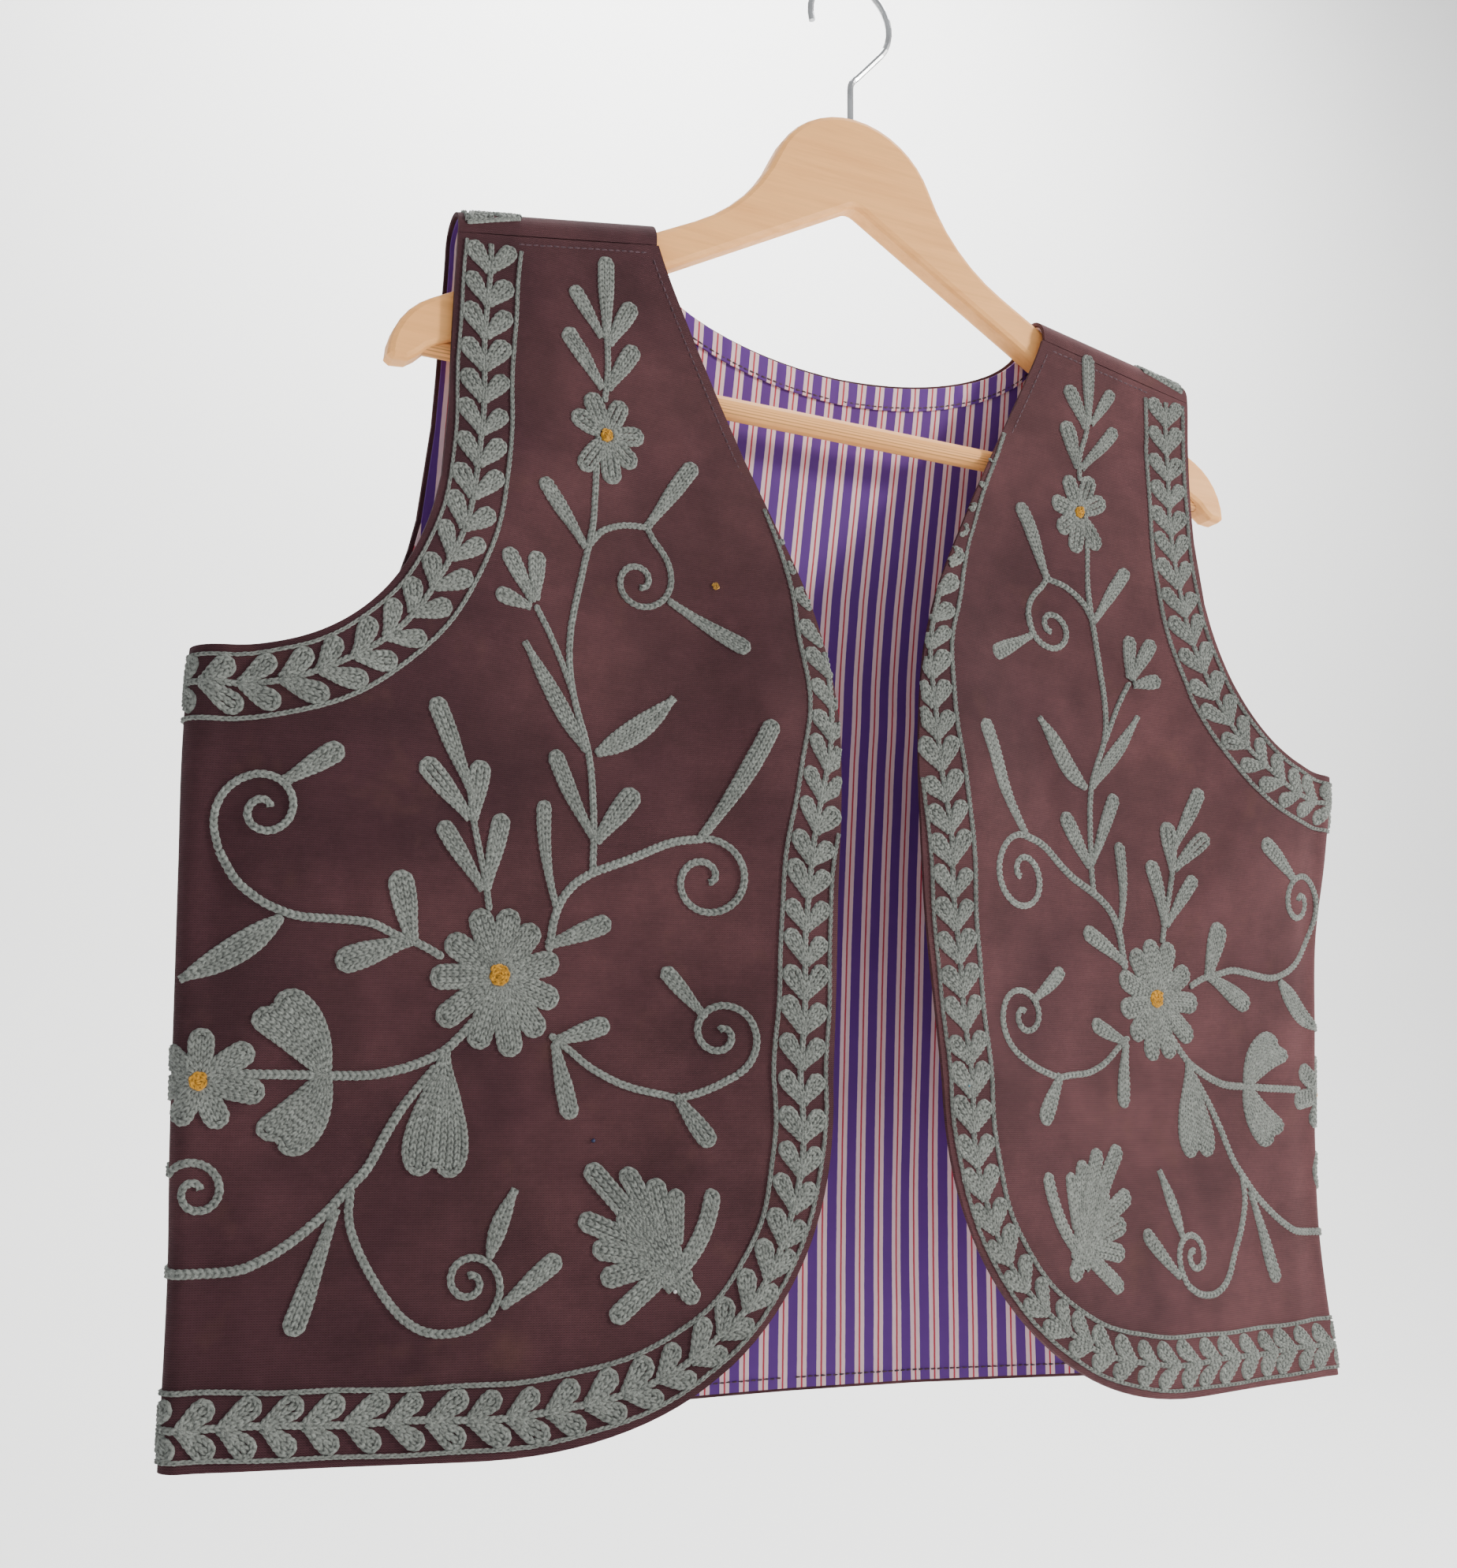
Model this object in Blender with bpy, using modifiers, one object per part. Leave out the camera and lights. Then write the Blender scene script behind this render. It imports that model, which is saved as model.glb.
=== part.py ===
"""Embroidered canvas waistcoat hanging on a wooden hanger.

The frame has +Z up, +X to the right of someone who faces the open fronts, and the fronts at -Y.
Its origin is the inside top of the hook, where a rail or wall hook holds the hanger.

Sizes are in millimetres until a point is placed.  Heights are measured from the hanger's crown.
The cloth is described as a skin with two coordinates: "wrap" is the distance from the side fold
along a level line, positive on the front and negative on the back, and "height" is the level.
Every cloth piece, and everything sewn on it, is laid out in wrap and height and then placed.
"""

import math

import bmesh
import bpy
from mathutils import Vector

MM = 0.001
MERGE = 0.0001

# Hanger ---------------------------------------------------------------------------------------
HOOK_RISE = 78.0            # inside top of the hook above the crown
WIRE_RADIUS = 1.65
HOOK_RADIUS = 22.5          # middle of the wire round the hook
HOOK_START_ANGLE = -38.0
HOOK_END_ANGLE = 196.0
HOOK_STEPS = 21
LEAN_RADIUS = 9.0           # bend from the shank to the lean
LEAN_HEIGHT = 19.0
LEAN_ANGLE = 52.0
SHANK_SEAT = 18.0           # shank inside the wood
BOARD_THICKNESS = 12.0
BOARD_ROUNDING = 2.6
CROWN_RADIUS = 46.0
CROWN_END_ANGLE = 68.0      # slope where the crown turns into the hollow
ARM_ANGLE = 28.7            # slope of the arms' upper edge
ARM_START = -29.5           # the arm's upper line carried to the middle
TIP_X = 222.5
TIP_RADIUS = 33.6
UNDERSIDE_APEX = -48.0
APEX_RADIUS = 7.0
LOBE_BOTTOM = -173.0
LOBE = (                    # inwards from the tip, up from the lobe's bottom
    (2.5, 0.0),
    (8.5, 0.6),
    (12.5, 3.5),
    (16.5, 7.6),
    (25.5, 12.5),
)
BAR_HEIGHT = -163.0
BAR_RADIUS = 5.2
BAR_SHOULDER = 187.0        # where the bar steps down to its tenon
TENON_RADIUS = 3.9
TENON_END = 211.0
BORE_CLEARANCE = 0.3
BORE_END = 2.0

# Cloth ----------------------------------------------------------------------------------------
CANVAS = 1.8                # canvas wall
LINING = 1.0                # striped cotton wall
GAP = 0.3                   # between pieces that meet
HEM = -603.5
CREST_NECK = (108.0, -83.6)     # top of the shoulder at the neck: out from the middle, height
CREST_ARM = (197.0, -99.5)      # top of the shoulder at the armhole
CREST_RADIUS = 11.0
SEAM_BELOW_CREST = 13.5         # the shoulder seam lies on the front
SIDE_SEAM = -35.0               # wrap of the side seam, behind the fold
SIDE_GAP = 0.5                  # the two panels' edges apart there
ARM_STRAIGHT = -190.0           # the armhole's edge is plumb above this
ARMPIT = -304.5
ARM_ROUNDNESS = 2.3
LEVEL_END = 14.0                # the armhole's edge is level from here to the side seam
NECK_BOTTOM = -128.5            # lowest point of the back neckline
NECK_HALF = 106.0
CORNER_TOP = -465.0             # the free edge starts to turn into the hem
CORNER_END = 175.0              # and is level from here on
CORNER_ROUNDNESS = 2.25
NECK_RISE = 42.0
LINING_INSET = 1.5
FACING_WIDTH = 11.0
FACING_TURN = 72.0              # the facing stops short of the shoulder's roll
SEAM_BELOW_BASE = SEAM_BELOW_CREST - CREST_RADIUS

# Embroidery in thick wool, raised off the canvas -----------------------------------------------
WOOL_GAP = 0.75
WOOL = 1.2
BORDER_FROM_EDGE = 14.5         # middle of a leaf border from the cloth's edge
BORDER_PITCH = 14.5
BORDER_TIP = 11.0               # half width at a pair of leaf tips
BORDER_NOTCH = 5.5              # and between two pairs
TIP_SHARE = 0.30                # where in its pitch a pair is widest
EDGE_BORDER_TOP = -212.0        # the free edge's border starts part way down the neckline
BORDER_END = 1.5                # a border stops this short of a seam
BORDER_SAMPLE = 5.0
FOLD_ZONE = 20.0                # wraps nearer the fold than this take closer stations
ROLL_ZONE = -114.0              # so do heights above this, at the shoulder
FOLD_STEP = 3.6
STEM_HALF = 1.8
PETAL_NOTCH = 0.84
SIDE_FLOWER_SLICES = 16
FLOWER_END = 0.35               # share of a slice left off at each end of the round flower
WIDE_LEAF = 8.0                 # a leaf's half width above this takes two faces across
FACING_ROWS = 7

# Free edge of a front: its distance from the middle at each height.
FREE_EDGE = (
    # height, out
    (-465.0, 27.0),
    (-390.0, 22.0),
    (-320.0, 20.0),
    (-280.0, 24.7),
    (-244.0, 35.5),
    (-200.0, 56.3),
    (-110.0, 99.8),
    (-84.0, 109.5),
)

# The side fold, from the hem up: where its edge runs and how round it is.
FOLD = (
    # height, out, depth, radius
    (-604.0, 278.0, 6.5, 7.0),
    (-540.0, 278.7, 14.5, 7.0),
    (-490.0, 281.5, 16.7, 7.0),
    (-440.0, 284.0, 15.5, 7.0),
    (-390.0, 286.5, 14.0, 7.5),
    (-345.0, 289.3, 7.5, 10.0),
    (-305.0, 290.0, 3.5, 14.0),
    (-95.0, 290.0, 3.5, 14.0),
)

# Depth of the front's outer face, a row for each level and a column for each distance from the fold.
FRONT_COLUMNS = (20.0, 50.0, 90.0, 140.0, 190.0, 230.0, 262.0)
FRONT_DEPTH = (
    # height, depth at each column
    (-604.0, (-4.0, -9.0, -17.5, -28.5, -38.5, -41.5, -41.0)),
    (-540.0, (2.5, -3.0, -11.5, -21.5, -32.0, -36.5, -37.0)),
    (-490.0, (5.5, 1.0, -5.5, -13.5, -25.0, -33.0, -34.0)),
    (-440.0, (4.0, 0.0, -4.5, -10.0, -19.5, -29.5, -31.5)),
    (-390.0, (-0.5, -5.5, -9.0, -12.5, -18.5, -27.0, -27.5)),
    (-345.0, (-8.0, -12.5, -13.0, -13.5, -18.5, -27.5, -27.0)),
    (-305.0, (-15.0, -17.5, -15.5, -13.0, -17.0, -26.0, -25.0)),
    (-270.0, (-15.0, -18.0, -16.0, -11.5, -12.5, -20.5, -20.0)),
    (-235.0, (-14.0, -15.5, -14.5, -10.5, -10.5, -15.0, -15.0)),
    (-200.0, (-11.0, -12.0, -11.5, -10.0, -10.0, -11.0, -11.0)),
    (-165.0, (-10.0, -10.0, -9.5, -9.5, -9.5, -9.5, -9.5)),
    (-130.0, (-10.0, -10.0, -10.0, -10.0, -10.0, -10.0, -10.0)),
    (-95.0, (-11.0, -11.0, -11.0, -11.0, -11.0, -11.0, -11.0)),
)

# Depth of the back's outer face, in the same way.
BACK_COLUMNS = (30.0, 80.0, 140.0, 210.0, 283.0)
BACK_DEPTH = (
    # height, depth at each column
    (-604.0, (23.0, 36.0, 49.5, 59.5, 63.0)),
    (-540.0, (29.0, 39.5, 50.5, 59.0, 62.0)),
    (-490.0, (30.5, 40.0, 50.0, 57.5, 60.5)),
    (-440.0, (29.5, 38.5, 48.0, 55.0, 58.0)),
    (-390.0, (28.0, 37.0, 45.5, 52.0, 55.0)),
    (-345.0, (23.5, 33.0, 42.0, 48.5, 51.5)),
    (-305.0, (22.0, 31.0, 39.0, 45.0, 48.0)),
    (-270.0, (22.0, 29.0, 36.5, 42.0, 44.5)),
    (-235.0, (20.5, 26.0, 32.0, 37.0, 39.5)),
    (-200.0, (17.5, 21.0, 25.5, 30.0, 32.0)),
    (-165.0, (14.5, 16.0, 19.0, 22.5, 24.5)),
    (-130.0, (12.0, 12.5, 13.5, 15.5, 17.0)),
    (-95.0, (11.0, 11.0, 11.0, 11.0, 11.0)),
)
SHOULDER_EASE = 25.0        # the shoulder's roll blends into the panels over this drop

# Grids of the cloth walls ----------------------------------------------------------------------
FRONT_ROWS = (-435.0, -405.0, -375.0, -350.0, -327.0)
CORNER_ROWS = 7
CORNER_EASE = 2.0 / CORNER_ROUNDNESS
ARM_STOPS = (45.0, 70.0, 85.0, 94.0, 99.0)      # wraps where a row meets the armhole
FOLD_SHARE = 0.10               # a column close to the fold, on the way to the armhole
FOLD_TURNS = 6                  # columns round the fold
PANEL_SHARES = (0.15, 0.30, 0.45, 0.59, 0.71, 0.81, 0.90, 1.0)
TOP_LEVEL = -130.0
HEM_PIVOT = 42.0
BACK_ROWS = (-576.0, -531.0, -501.5, -465.0) + FRONT_ROWS
BACK_ARM_STOPS = (-70.0, -85.0, -93.0)
BACK_SIDE = (-50.0, -70.0)
BACK_UPPER = ((-165.0, -163.0), (-147.0, -144.0))       # rows: height at the armhole, and middle
NECK_ROW_DROP = 7.0             # the neckline's first row is this much lower at the armhole
NECK_ROW_EASE = 1.3
BACK_ACROSS = 6
NECK_STEPS = 6
ROLL_STEPS = 6
MIDDLE = 0.6                # a point this near the middle is put on it
WELD = 0.00001

# What is sewn on each front --------------------------------------------------------------------
FLOWERS = (
    # name, out, height, radius, petals
    ("small_flower", 126.0, -189.0, 17.0, 8),
    ("big_flower", 164.0, -426.0, 29.0, 12),
)
SIDE_FLOWER = (13.0, -468.0, 19.5)      # wrap, height, radius: it lies round the fold

LEAVES = (
    # name, base out and height, tip out and height, half width, profile
    ("pendant_leaf", (185.0, -461.0), (187.0, -500.0), 13.0, "heart"),
    ("upper_heart", (229.5, -461.5), (248.0, -436.0), 12.5, "heart"),
    ("lower_heart", (229.0, -471.0), (244.0, -493.0), 12.0, "heart"),
    ("palm_leaf", (94.0, -545.0), (122.0, -504.0), 20.0, "palm"),
    ("chest_leaf", (143.0, -322.0), (160.0, -289.0), 5.0, "long"),
    ("inner_leaf", (126.0, -331.0), (96.0, -307.0), 5.5, "long"),
    ("edge_leaf", (86.0, -358.0), (56.0, -319.0), 4.8, "long"),
    ("low_leaf", (222.0, -519.0), (236.0, -556.0), 4.8, "long"),
)
PROFILES = {
    # share of the length, share of the half width
    "heart": ((0.0, 0.16), (0.18, 0.3), (0.4, 0.55), (0.62, 0.86), (0.8, 1.0), (0.92, 0.92),
              (1.0, 0.5)),
    "long": ((0.0, 0.3), (0.25, 0.75), (0.5, 1.0), (0.75, 0.92), (0.92, 0.6), (1.0, 0.25)),
    "palm": ((0.0, 0.14), (0.12, 0.5), (0.2, 0.92), (0.26, 0.62), (0.44, 1.0), (0.5, 0.66),
             (0.68, 0.86), (0.73, 0.48), (0.88, 0.5), (1.0, 0.16)),
}
SPRIGS = (
    # name, foot, top, (share of the length, half width)
    ("top_sprig", (127.0, -172.0), (130.0, -111.0),
     ((0.0, 1.8), (0.16, 4.0), (0.38, 14.5), (0.43, 6.0), (0.50, 4.0), (0.72, 13.5),
      (0.77, 5.5), (0.86, 4.6), (1.0, 2.4))),
    ("mid_sprig", (173.0, -392.0), (196.0, -320.0),
     ((0.0, 1.8), (0.10, 3.6), (0.32, 12.5), (0.37, 5.5), (0.44, 3.6), (0.66, 13.0),
      (0.71, 5.5), (0.84, 5.0), (1.0, 2.4))),
)
STEMS = (
    # name, points out and height
    ("main_stem", ((127.0, -210.0), (133.0, -236.0), (140.0, -268.0), (142.0, -303.0),
                   (135.0, -334.0), (130.0, -362.0), (133.0, -379.0), (142.0, -392.0))),
    ("side_stem", ((179.0, -453.0), (200.0, -462.0), (224.0, -466.5), (252.0, -467.5))),
    ("lower_stem", ((199.0, -468.0), (208.0, -488.0), (217.0, -505.0), (232.0, -523.0),
                    (248.0, -532.0), (262.0, -536.0))),
)
STEM_STEP = 7.0


# Smooth curves --------------------------------------------------------------------------------
def spline(knots, values, at, flat_start=False):
    """Smooth curve through values at rising knots, level beyond them."""
    if at <= knots[0]:
        return values[0]
    if at >= knots[-1]:
        return values[-1]
    i = max(k for k in range(len(knots) - 1) if knots[k] <= at)
    last = len(knots) - 1

    def slope(k):
        if k == 0 and flat_start:
            return 0.0
        low, high = max(k - 1, 0), min(k + 1, last)
        return (values[high] - values[low]) / (knots[high] - knots[low])

    span = knots[i + 1] - knots[i]
    t = (at - knots[i]) / span
    start, end = values[i], values[i + 1]
    bend = (2 * t ** 3 - 3 * t ** 2 + 1) * start + (3 * t ** 2 - 2 * t ** 3) * end
    lean = (t ** 3 - 2 * t ** 2 + t) * slope(i) + (t ** 3 - t ** 2) * slope(i + 1)
    return bend + lean * span


def table(rows, at, column=1):
    """Value of a column at a height, from a table whose rows start with their height."""
    return spline([row[0] for row in rows], [row[column] for row in rows], at)


def smooth_step(t):
    t = min(max(t, 0.0), 1.0)
    return t * t * (3.0 - 2.0 * t)


def mix(start, end, t):
    return start + (end - start) * t


def rounded(drop, roundness):
    """How far out a rounded corner still reaches, 1 to 0, as its drop goes from 0 to 1."""
    return max(0.0, 1.0 - drop ** roundness) ** (1.0 / roundness)


# The cloth's skin -----------------------------------------------------------------------------
def fold_radius(height):
    return table(FOLD, height, 3)


def quarter(height):
    """Length of cloth from the fold's edge to where a panel begins."""
    return math.pi * fold_radius(height) / 2.0


def flat_reach(height):
    """Where the panels end and the fold's rounding starts."""
    return table(FOLD, height) - fold_radius(height)


def depth_from(rows, columns, face, distance, height):
    """Depth at a distance from the fold and a height; face is -1 in front and 1 behind."""
    across = []
    for level, values in rows:
        start = table(FOLD, level, 2) + face * fold_radius(level)
        across.append(spline((0.0,) + columns, (start,) + values, distance, flat_start=True))
    return spline([row[0] for row in rows], across, height)


def wrap_at(out, height):
    """Wrap of a point on a front, from its distance from the middle."""
    return flat_reach(height) + quarter(height) - out


def crest(out):
    """Height of the shoulder's top at a distance from the middle."""
    (x1, z1), (x2, z2) = CREST_NECK, CREST_ARM
    return z1 + (z2 - z1) * (out - x1) / (x2 - x1)


def shoulder_base(out):
    """Height where the shoulder's roll starts."""
    return crest(out) - CREST_RADIUS


def ease(depth, rest, out, height):
    """A panel's depth, blended into the shoulder's roll above it."""
    return rest + (depth - rest) * smooth_step((shoulder_base(out) - height) / SHOULDER_EASE)


def front_point(out, height):
    depth = depth_from(FRONT_DEPTH, FRONT_COLUMNS, -1, flat_reach(height) - out, height)
    return Vector((out, ease(depth, -CREST_RADIUS, out, height), height))


def back_point(out, height):
    """A point of the back, which runs on over the shoulder above the roll's base."""
    base = shoulder_base(out)
    if height <= base:
        depth = depth_from(BACK_DEPTH, BACK_COLUMNS, 1, flat_reach(height) - out, height)
        return Vector((out, ease(depth, CREST_RADIUS, out, height), height))
    climb = (height - base) / CREST_RADIUS
    if climb <= math.pi:
        return Vector((out, CREST_RADIUS * math.cos(climb), base + CREST_RADIUS * math.sin(climb)))
    return front_point(out, base - (climb - math.pi) * CREST_RADIUS)


def skin(wrap, height):
    """The outer face of the cloth at a wrap and height, on the side of +X."""
    reach, flat_start = flat_reach(height), quarter(height)
    if wrap > flat_start:
        return front_point(reach + flat_start - wrap, height)
    if wrap < -flat_start:
        return back_point(reach + flat_start + wrap, height)
    radius = fold_radius(height)
    turn = wrap / radius
    depth = table(FOLD, height, 2) - radius * math.sin(turn)
    return Vector((reach + radius * math.cos(turn), depth, height))


def lifted(wrap, height, lift):
    """A point on the skin moved out, or in where lift is negative."""
    step = 0.4
    along = skin(wrap + step, height) - skin(wrap - step, height)
    up = skin(wrap, height + step) - skin(wrap, height - step)
    return skin(wrap, height) + up.cross(along).normalized() * lift


def free_edge(height):
    """Distance of a front's free edge from the middle."""
    if height > CORNER_TOP:
        return table(FREE_EDGE, height)
    drop = min(1.0, (CORNER_TOP - height) / (CORNER_TOP - HEM))
    start = FREE_EDGE[0][1]
    return CORNER_END - (CORNER_END - start) * rounded(drop, CORNER_ROUNDNESS)


def arm_edge(height, face):
    """Wrap of the armhole's edge, and of the side seam below it; face is 1 in front, -1 behind."""
    drop = min(max((ARM_STRAIGHT - height) / (ARM_STRAIGHT - ARMPIT), 0.0), 1.0)
    plumb = face * wrap_at(CREST_ARM[0], ARM_STRAIGHT)
    level_end = LEVEL_END if face > 0 else SIDE_SEAM
    if height <= ARMPIT:
        return SIDE_SEAM
    return level_end + (plumb - level_end) * rounded(drop, ARM_ROUNDNESS)


def arm_height(wrap, face):
    """Height of the armhole's curve at a wrap."""
    plumb = face * wrap_at(CREST_ARM[0], ARM_STRAIGHT)
    level_end = LEVEL_END if face > 0 else SIDE_SEAM
    share = (wrap - level_end) / (plumb - level_end)
    return ARM_STRAIGHT - (ARM_STRAIGHT - ARMPIT) * rounded(share, ARM_ROUNDNESS)


def neck_edge(turn):
    """A point of the back neckline, out and height, as turn goes from 0 at the middle to 90."""
    angle = math.radians(turn)
    return (NECK_HALF * math.sin(angle), NECK_BOTTOM + NECK_RISE * (1.0 - math.cos(angle)))


# Blender helpers ------------------------------------------------------------------------------
def placed(point, side=1):
    """A point in metres in the part's frame."""
    return Vector((point.x * side, point.y, point.z - HOOK_RISE)) * MM


def clear_scene():
    for item in list(bpy.data.objects):
        bpy.data.objects.remove(item, do_unlink=True)


def collection(name):
    found = bpy.data.collections.new(name)
    bpy.context.scene.collection.children.link(found)
    return found


def material(name, colour, roughness, metallic=0.0):
    made = bpy.data.materials.new(name)
    made.use_nodes = True
    shader = made.node_tree.nodes["Principled BSDF"]
    shader.inputs["Base Color"].default_value = (*colour, 1.0)
    shader.inputs["Roughness"].default_value = roughness
    shader.inputs["Metallic"].default_value = metallic
    return made


def add_object(name, data, finish, home):
    made = bpy.data.objects.new(name, data)
    data.materials.clear()
    data.materials.append(finish)
    home.objects.link(made)
    return made


def sheet(name, columns, rows, place, finish, home, lift, wall, side=1, whole=False):
    """A cloth wall: a grid laid by place(column, row) at a lift from the skin, then thickened.

    The wall grows outwards, or inwards where it is negative.  Points that meet are welded, so a
    grid may run out to a curved edge or close into a disc; a point placed nowhere is left out.
    A whole sheet is mirrored about the middle.
    """
    shape = bmesh.new()
    bmesh.ops.create_grid(shape, x_segments=columns, y_segments=rows, size=0.5)
    outward = {}
    left_out = []
    for corner in shape.verts:
        column = round((corner.co.x + 0.5) * columns)
        row = round((corner.co.y + 0.5) * rows)
        spot = place(column, row)
        if spot is None:
            left_out.append(corner)
            continue
        wrap, height = spot
        base = placed(lifted(wrap, height, lift), side)
        outward[corner] = placed(lifted(wrap, height, lift + 1.0), side) - base
        if whole and abs(skin(wrap, height).x) < MIDDLE:
            base.x = 0.0
        corner.co = base
    bmesh.ops.delete(shape, geom=left_out, context="VERTS")
    shape.normal_update()
    widest = max(shape.faces, key=lambda face: face.calc_area())
    if sum(widest.normal.dot(outward[corner]) for corner in widest.verts) < 0.0:
        bmesh.ops.reverse_faces(shape, faces=shape.faces)
    bmesh.ops.remove_doubles(shape, verts=shape.verts, dist=WELD)
    mesh = bpy.data.meshes.new(name)
    shape.to_mesh(mesh)
    shape.free()
    made = add_object(name, mesh, finish, home)
    if whole:
        mirror = made.modifiers.new("other half", "MIRROR")
        mirror.merge_threshold = MERGE
    thick = made.modifiers.new("wall", "SOLIDIFY")
    thick.thickness = abs(wall) * MM
    thick.offset = math.copysign(1.0, wall)
    return made


def turned(name, profile, finish, home, steps=16):
    """A round bar along X from a profile of (out, radius) pairs, middle outwards."""
    shape = bmesh.new()
    points = [shape.verts.new((out * MM, 0.0, radius * MM)) for out, radius in profile]
    for first, second in zip(points, points[1:]):
        shape.edges.new((first, second))
    mesh = bpy.data.meshes.new(name)
    shape.to_mesh(mesh)
    shape.free()
    made = add_object(name, mesh, finish, home)
    spin = made.modifiers.new("turn", "SCREW")
    spin.axis = "X"
    spin.steps = steps
    spin.render_steps = steps
    spin.use_merge_vertices = True
    spin.merge_threshold = MERGE
    spin.use_normal_flip = True
    made.location = (0.0, 0.0, (BAR_HEIGHT - HOOK_RISE) * MM)
    return made


# Hanger ---------------------------------------------------------------------------------------
def arc(centre, radius, start, end, steps):
    """Points of an arc from one angle to another, in degrees."""
    angles = [math.radians(mix(start, end, k / steps)) for k in range(steps + 1)]
    return [(centre[0] + radius * math.cos(a), centre[1] + radius * math.sin(a)) for a in angles]


def board_half():
    """Outline of the board's right half, from the crown round the tip to the apex below."""
    crown_centre = (0.0, -CROWN_RADIUS)
    crown = arc(crown_centre, CROWN_RADIUS, 90.0, 90.0 - CROWN_END_ANGLE, 8)
    slope = math.tan(math.radians(ARM_ANGLE))
    steep = math.radians(CROWN_END_ANGLE)
    gentle = math.radians(ARM_ANGLE)
    end_x, end_z = crown[-1]
    fall = end_z - (ARM_START - slope * end_x)
    hollow_radius = fall / (math.cos(gentle) - math.cos(steep)
                            - slope * (math.sin(steep) - math.sin(gentle)))
    hollow_centre = (end_x + hollow_radius * math.sin(steep),
                     end_z + hollow_radius * math.cos(steep))
    hollow = arc(hollow_centre, hollow_radius, 270.0 - CROWN_END_ANGLE, 270.0 - ARM_ANGLE, 6)
    tip_start = TIP_X - TIP_RADIUS * (1.0 - math.sin(gentle))
    tip_centre = (TIP_X - TIP_RADIUS,
                  ARM_START - slope * tip_start - TIP_RADIUS * math.cos(gentle))
    tip = arc(tip_centre, TIP_RADIUS, 90.0 - ARM_ANGLE, 0.0, 6)
    lobe = [(TIP_X - dx, LOBE_BOTTOM + dz) for dx, dz in LOBE]
    apex = arc((0.0, UNDERSIDE_APEX - APEX_RADIUS), APEX_RADIUS, 60.0, 90.0, 2)
    return crown + hollow[1:] + tip + lobe + apex


def hanger_board(finish, home, cutters):
    right = board_half()
    left = [(-x, z) for x, z in reversed(right[1:-1])]
    shape = bmesh.new()
    depth = BOARD_THICKNESS * MM / 2.0
    corners = [shape.verts.new((x * MM, -depth, (z - HOOK_RISE) * MM)) for x, z in right + left]
    face = shape.faces.new(corners)
    grown = bmesh.ops.extrude_face_region(shape, geom=[face])
    far = [item for item in grown["geom"] if isinstance(item, bmesh.types.BMVert)]
    bmesh.ops.translate(shape, verts=far, vec=(0.0, 2.0 * depth, 0.0))
    bmesh.ops.recalc_face_normals(shape, faces=shape.faces)
    flats = [item for item in shape.faces if len(item.verts) > 4]
    rims = list({edge for flat in flats for edge in flat.edges})
    bmesh.ops.bevel(shape, geom=rims, offset=BOARD_ROUNDING * MM, offset_type="OFFSET",
                    segments=2, profile=0.5, affect="EDGES", material=-1)
    mesh = bpy.data.meshes.new("hanger_board")
    shape.to_mesh(mesh)
    shape.free()
    board = add_object("hanger_board", mesh, finish, home)
    bores = [((0.0, -SHANK_SEAT / 2.0), WIRE_RADIUS, SHANK_SEAT + BORE_END, 0.0)]
    for side in (1, -1):
        middle = side * (BAR_SHOULDER + TENON_END) / 2.0
        bores.append(((middle, BAR_HEIGHT), TENON_RADIUS,
                      TENON_END - BAR_SHOULDER + BORE_END, math.pi / 2.0))
    for number, ((x, z), radius, length, tilt) in enumerate(bores):
        bpy.ops.mesh.primitive_cylinder_add(
            vertices=16, radius=(radius + BORE_CLEARANCE) * MM, depth=length * MM,
            location=(x * MM, 0.0, (z - HOOK_RISE) * MM), rotation=(0.0, tilt, 0.0))
        cutter = bpy.context.active_object
        cutter.name = "bore_%d" % number
        for other in list(cutter.users_collection):
            other.objects.unlink(cutter)
        cutters.objects.link(cutter)
        cutter.hide_render = True
        cutter.display_type = "WIRE"
        cut = board.modifiers.new("bore %d" % number, "BOOLEAN")
        cut.operation = "DIFFERENCE"
        cut.object = cutter
    return board


def hanger_hook(finish, home):
    """Round wire: seated shank, a short lean to the right, and the hook over to its ball end."""
    centre = HOOK_RISE + WIRE_RADIUS - HOOK_RADIUS
    bowl = arc((0.0, centre), HOOK_RADIUS, HOOK_START_ANGLE, HOOK_END_ANGLE, HOOK_STEPS)
    route = [(0.0, -SHANK_SEAT), (0.0, 0.0)]
    route += arc((LEAN_RADIUS, LEAN_HEIGHT), LEAN_RADIUS, 180.0, 180.0 - LEAN_ANGLE, 4)
    route += bowl
    data = bpy.data.curves.new("hanger_hook", "CURVE")
    data.dimensions = "3D"
    data.bevel_depth = WIRE_RADIUS * MM
    data.bevel_resolution = 2
    data.use_fill_caps = True
    wire = data.splines.new("POLY")
    wire.points.add(len(route) - 1)
    for point, (x, z) in zip(wire.points, route):
        point.co = (x * MM, 0.0, (z - HOOK_RISE) * MM, 1.0)
    return add_object("hanger_hook", data, finish, home)


def trouser_bar(finish, home):
    profile = [(-TENON_END, 0.0), (-TENON_END, TENON_RADIUS), (-BAR_SHOULDER, TENON_RADIUS),
               (-BAR_SHOULDER, BAR_RADIUS), (BAR_SHOULDER, BAR_RADIUS),
               (BAR_SHOULDER, TENON_RADIUS), (TENON_END, TENON_RADIUS), (TENON_END, 0.0)]
    return turned("trouser_bar", profile, finish, home)


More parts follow.
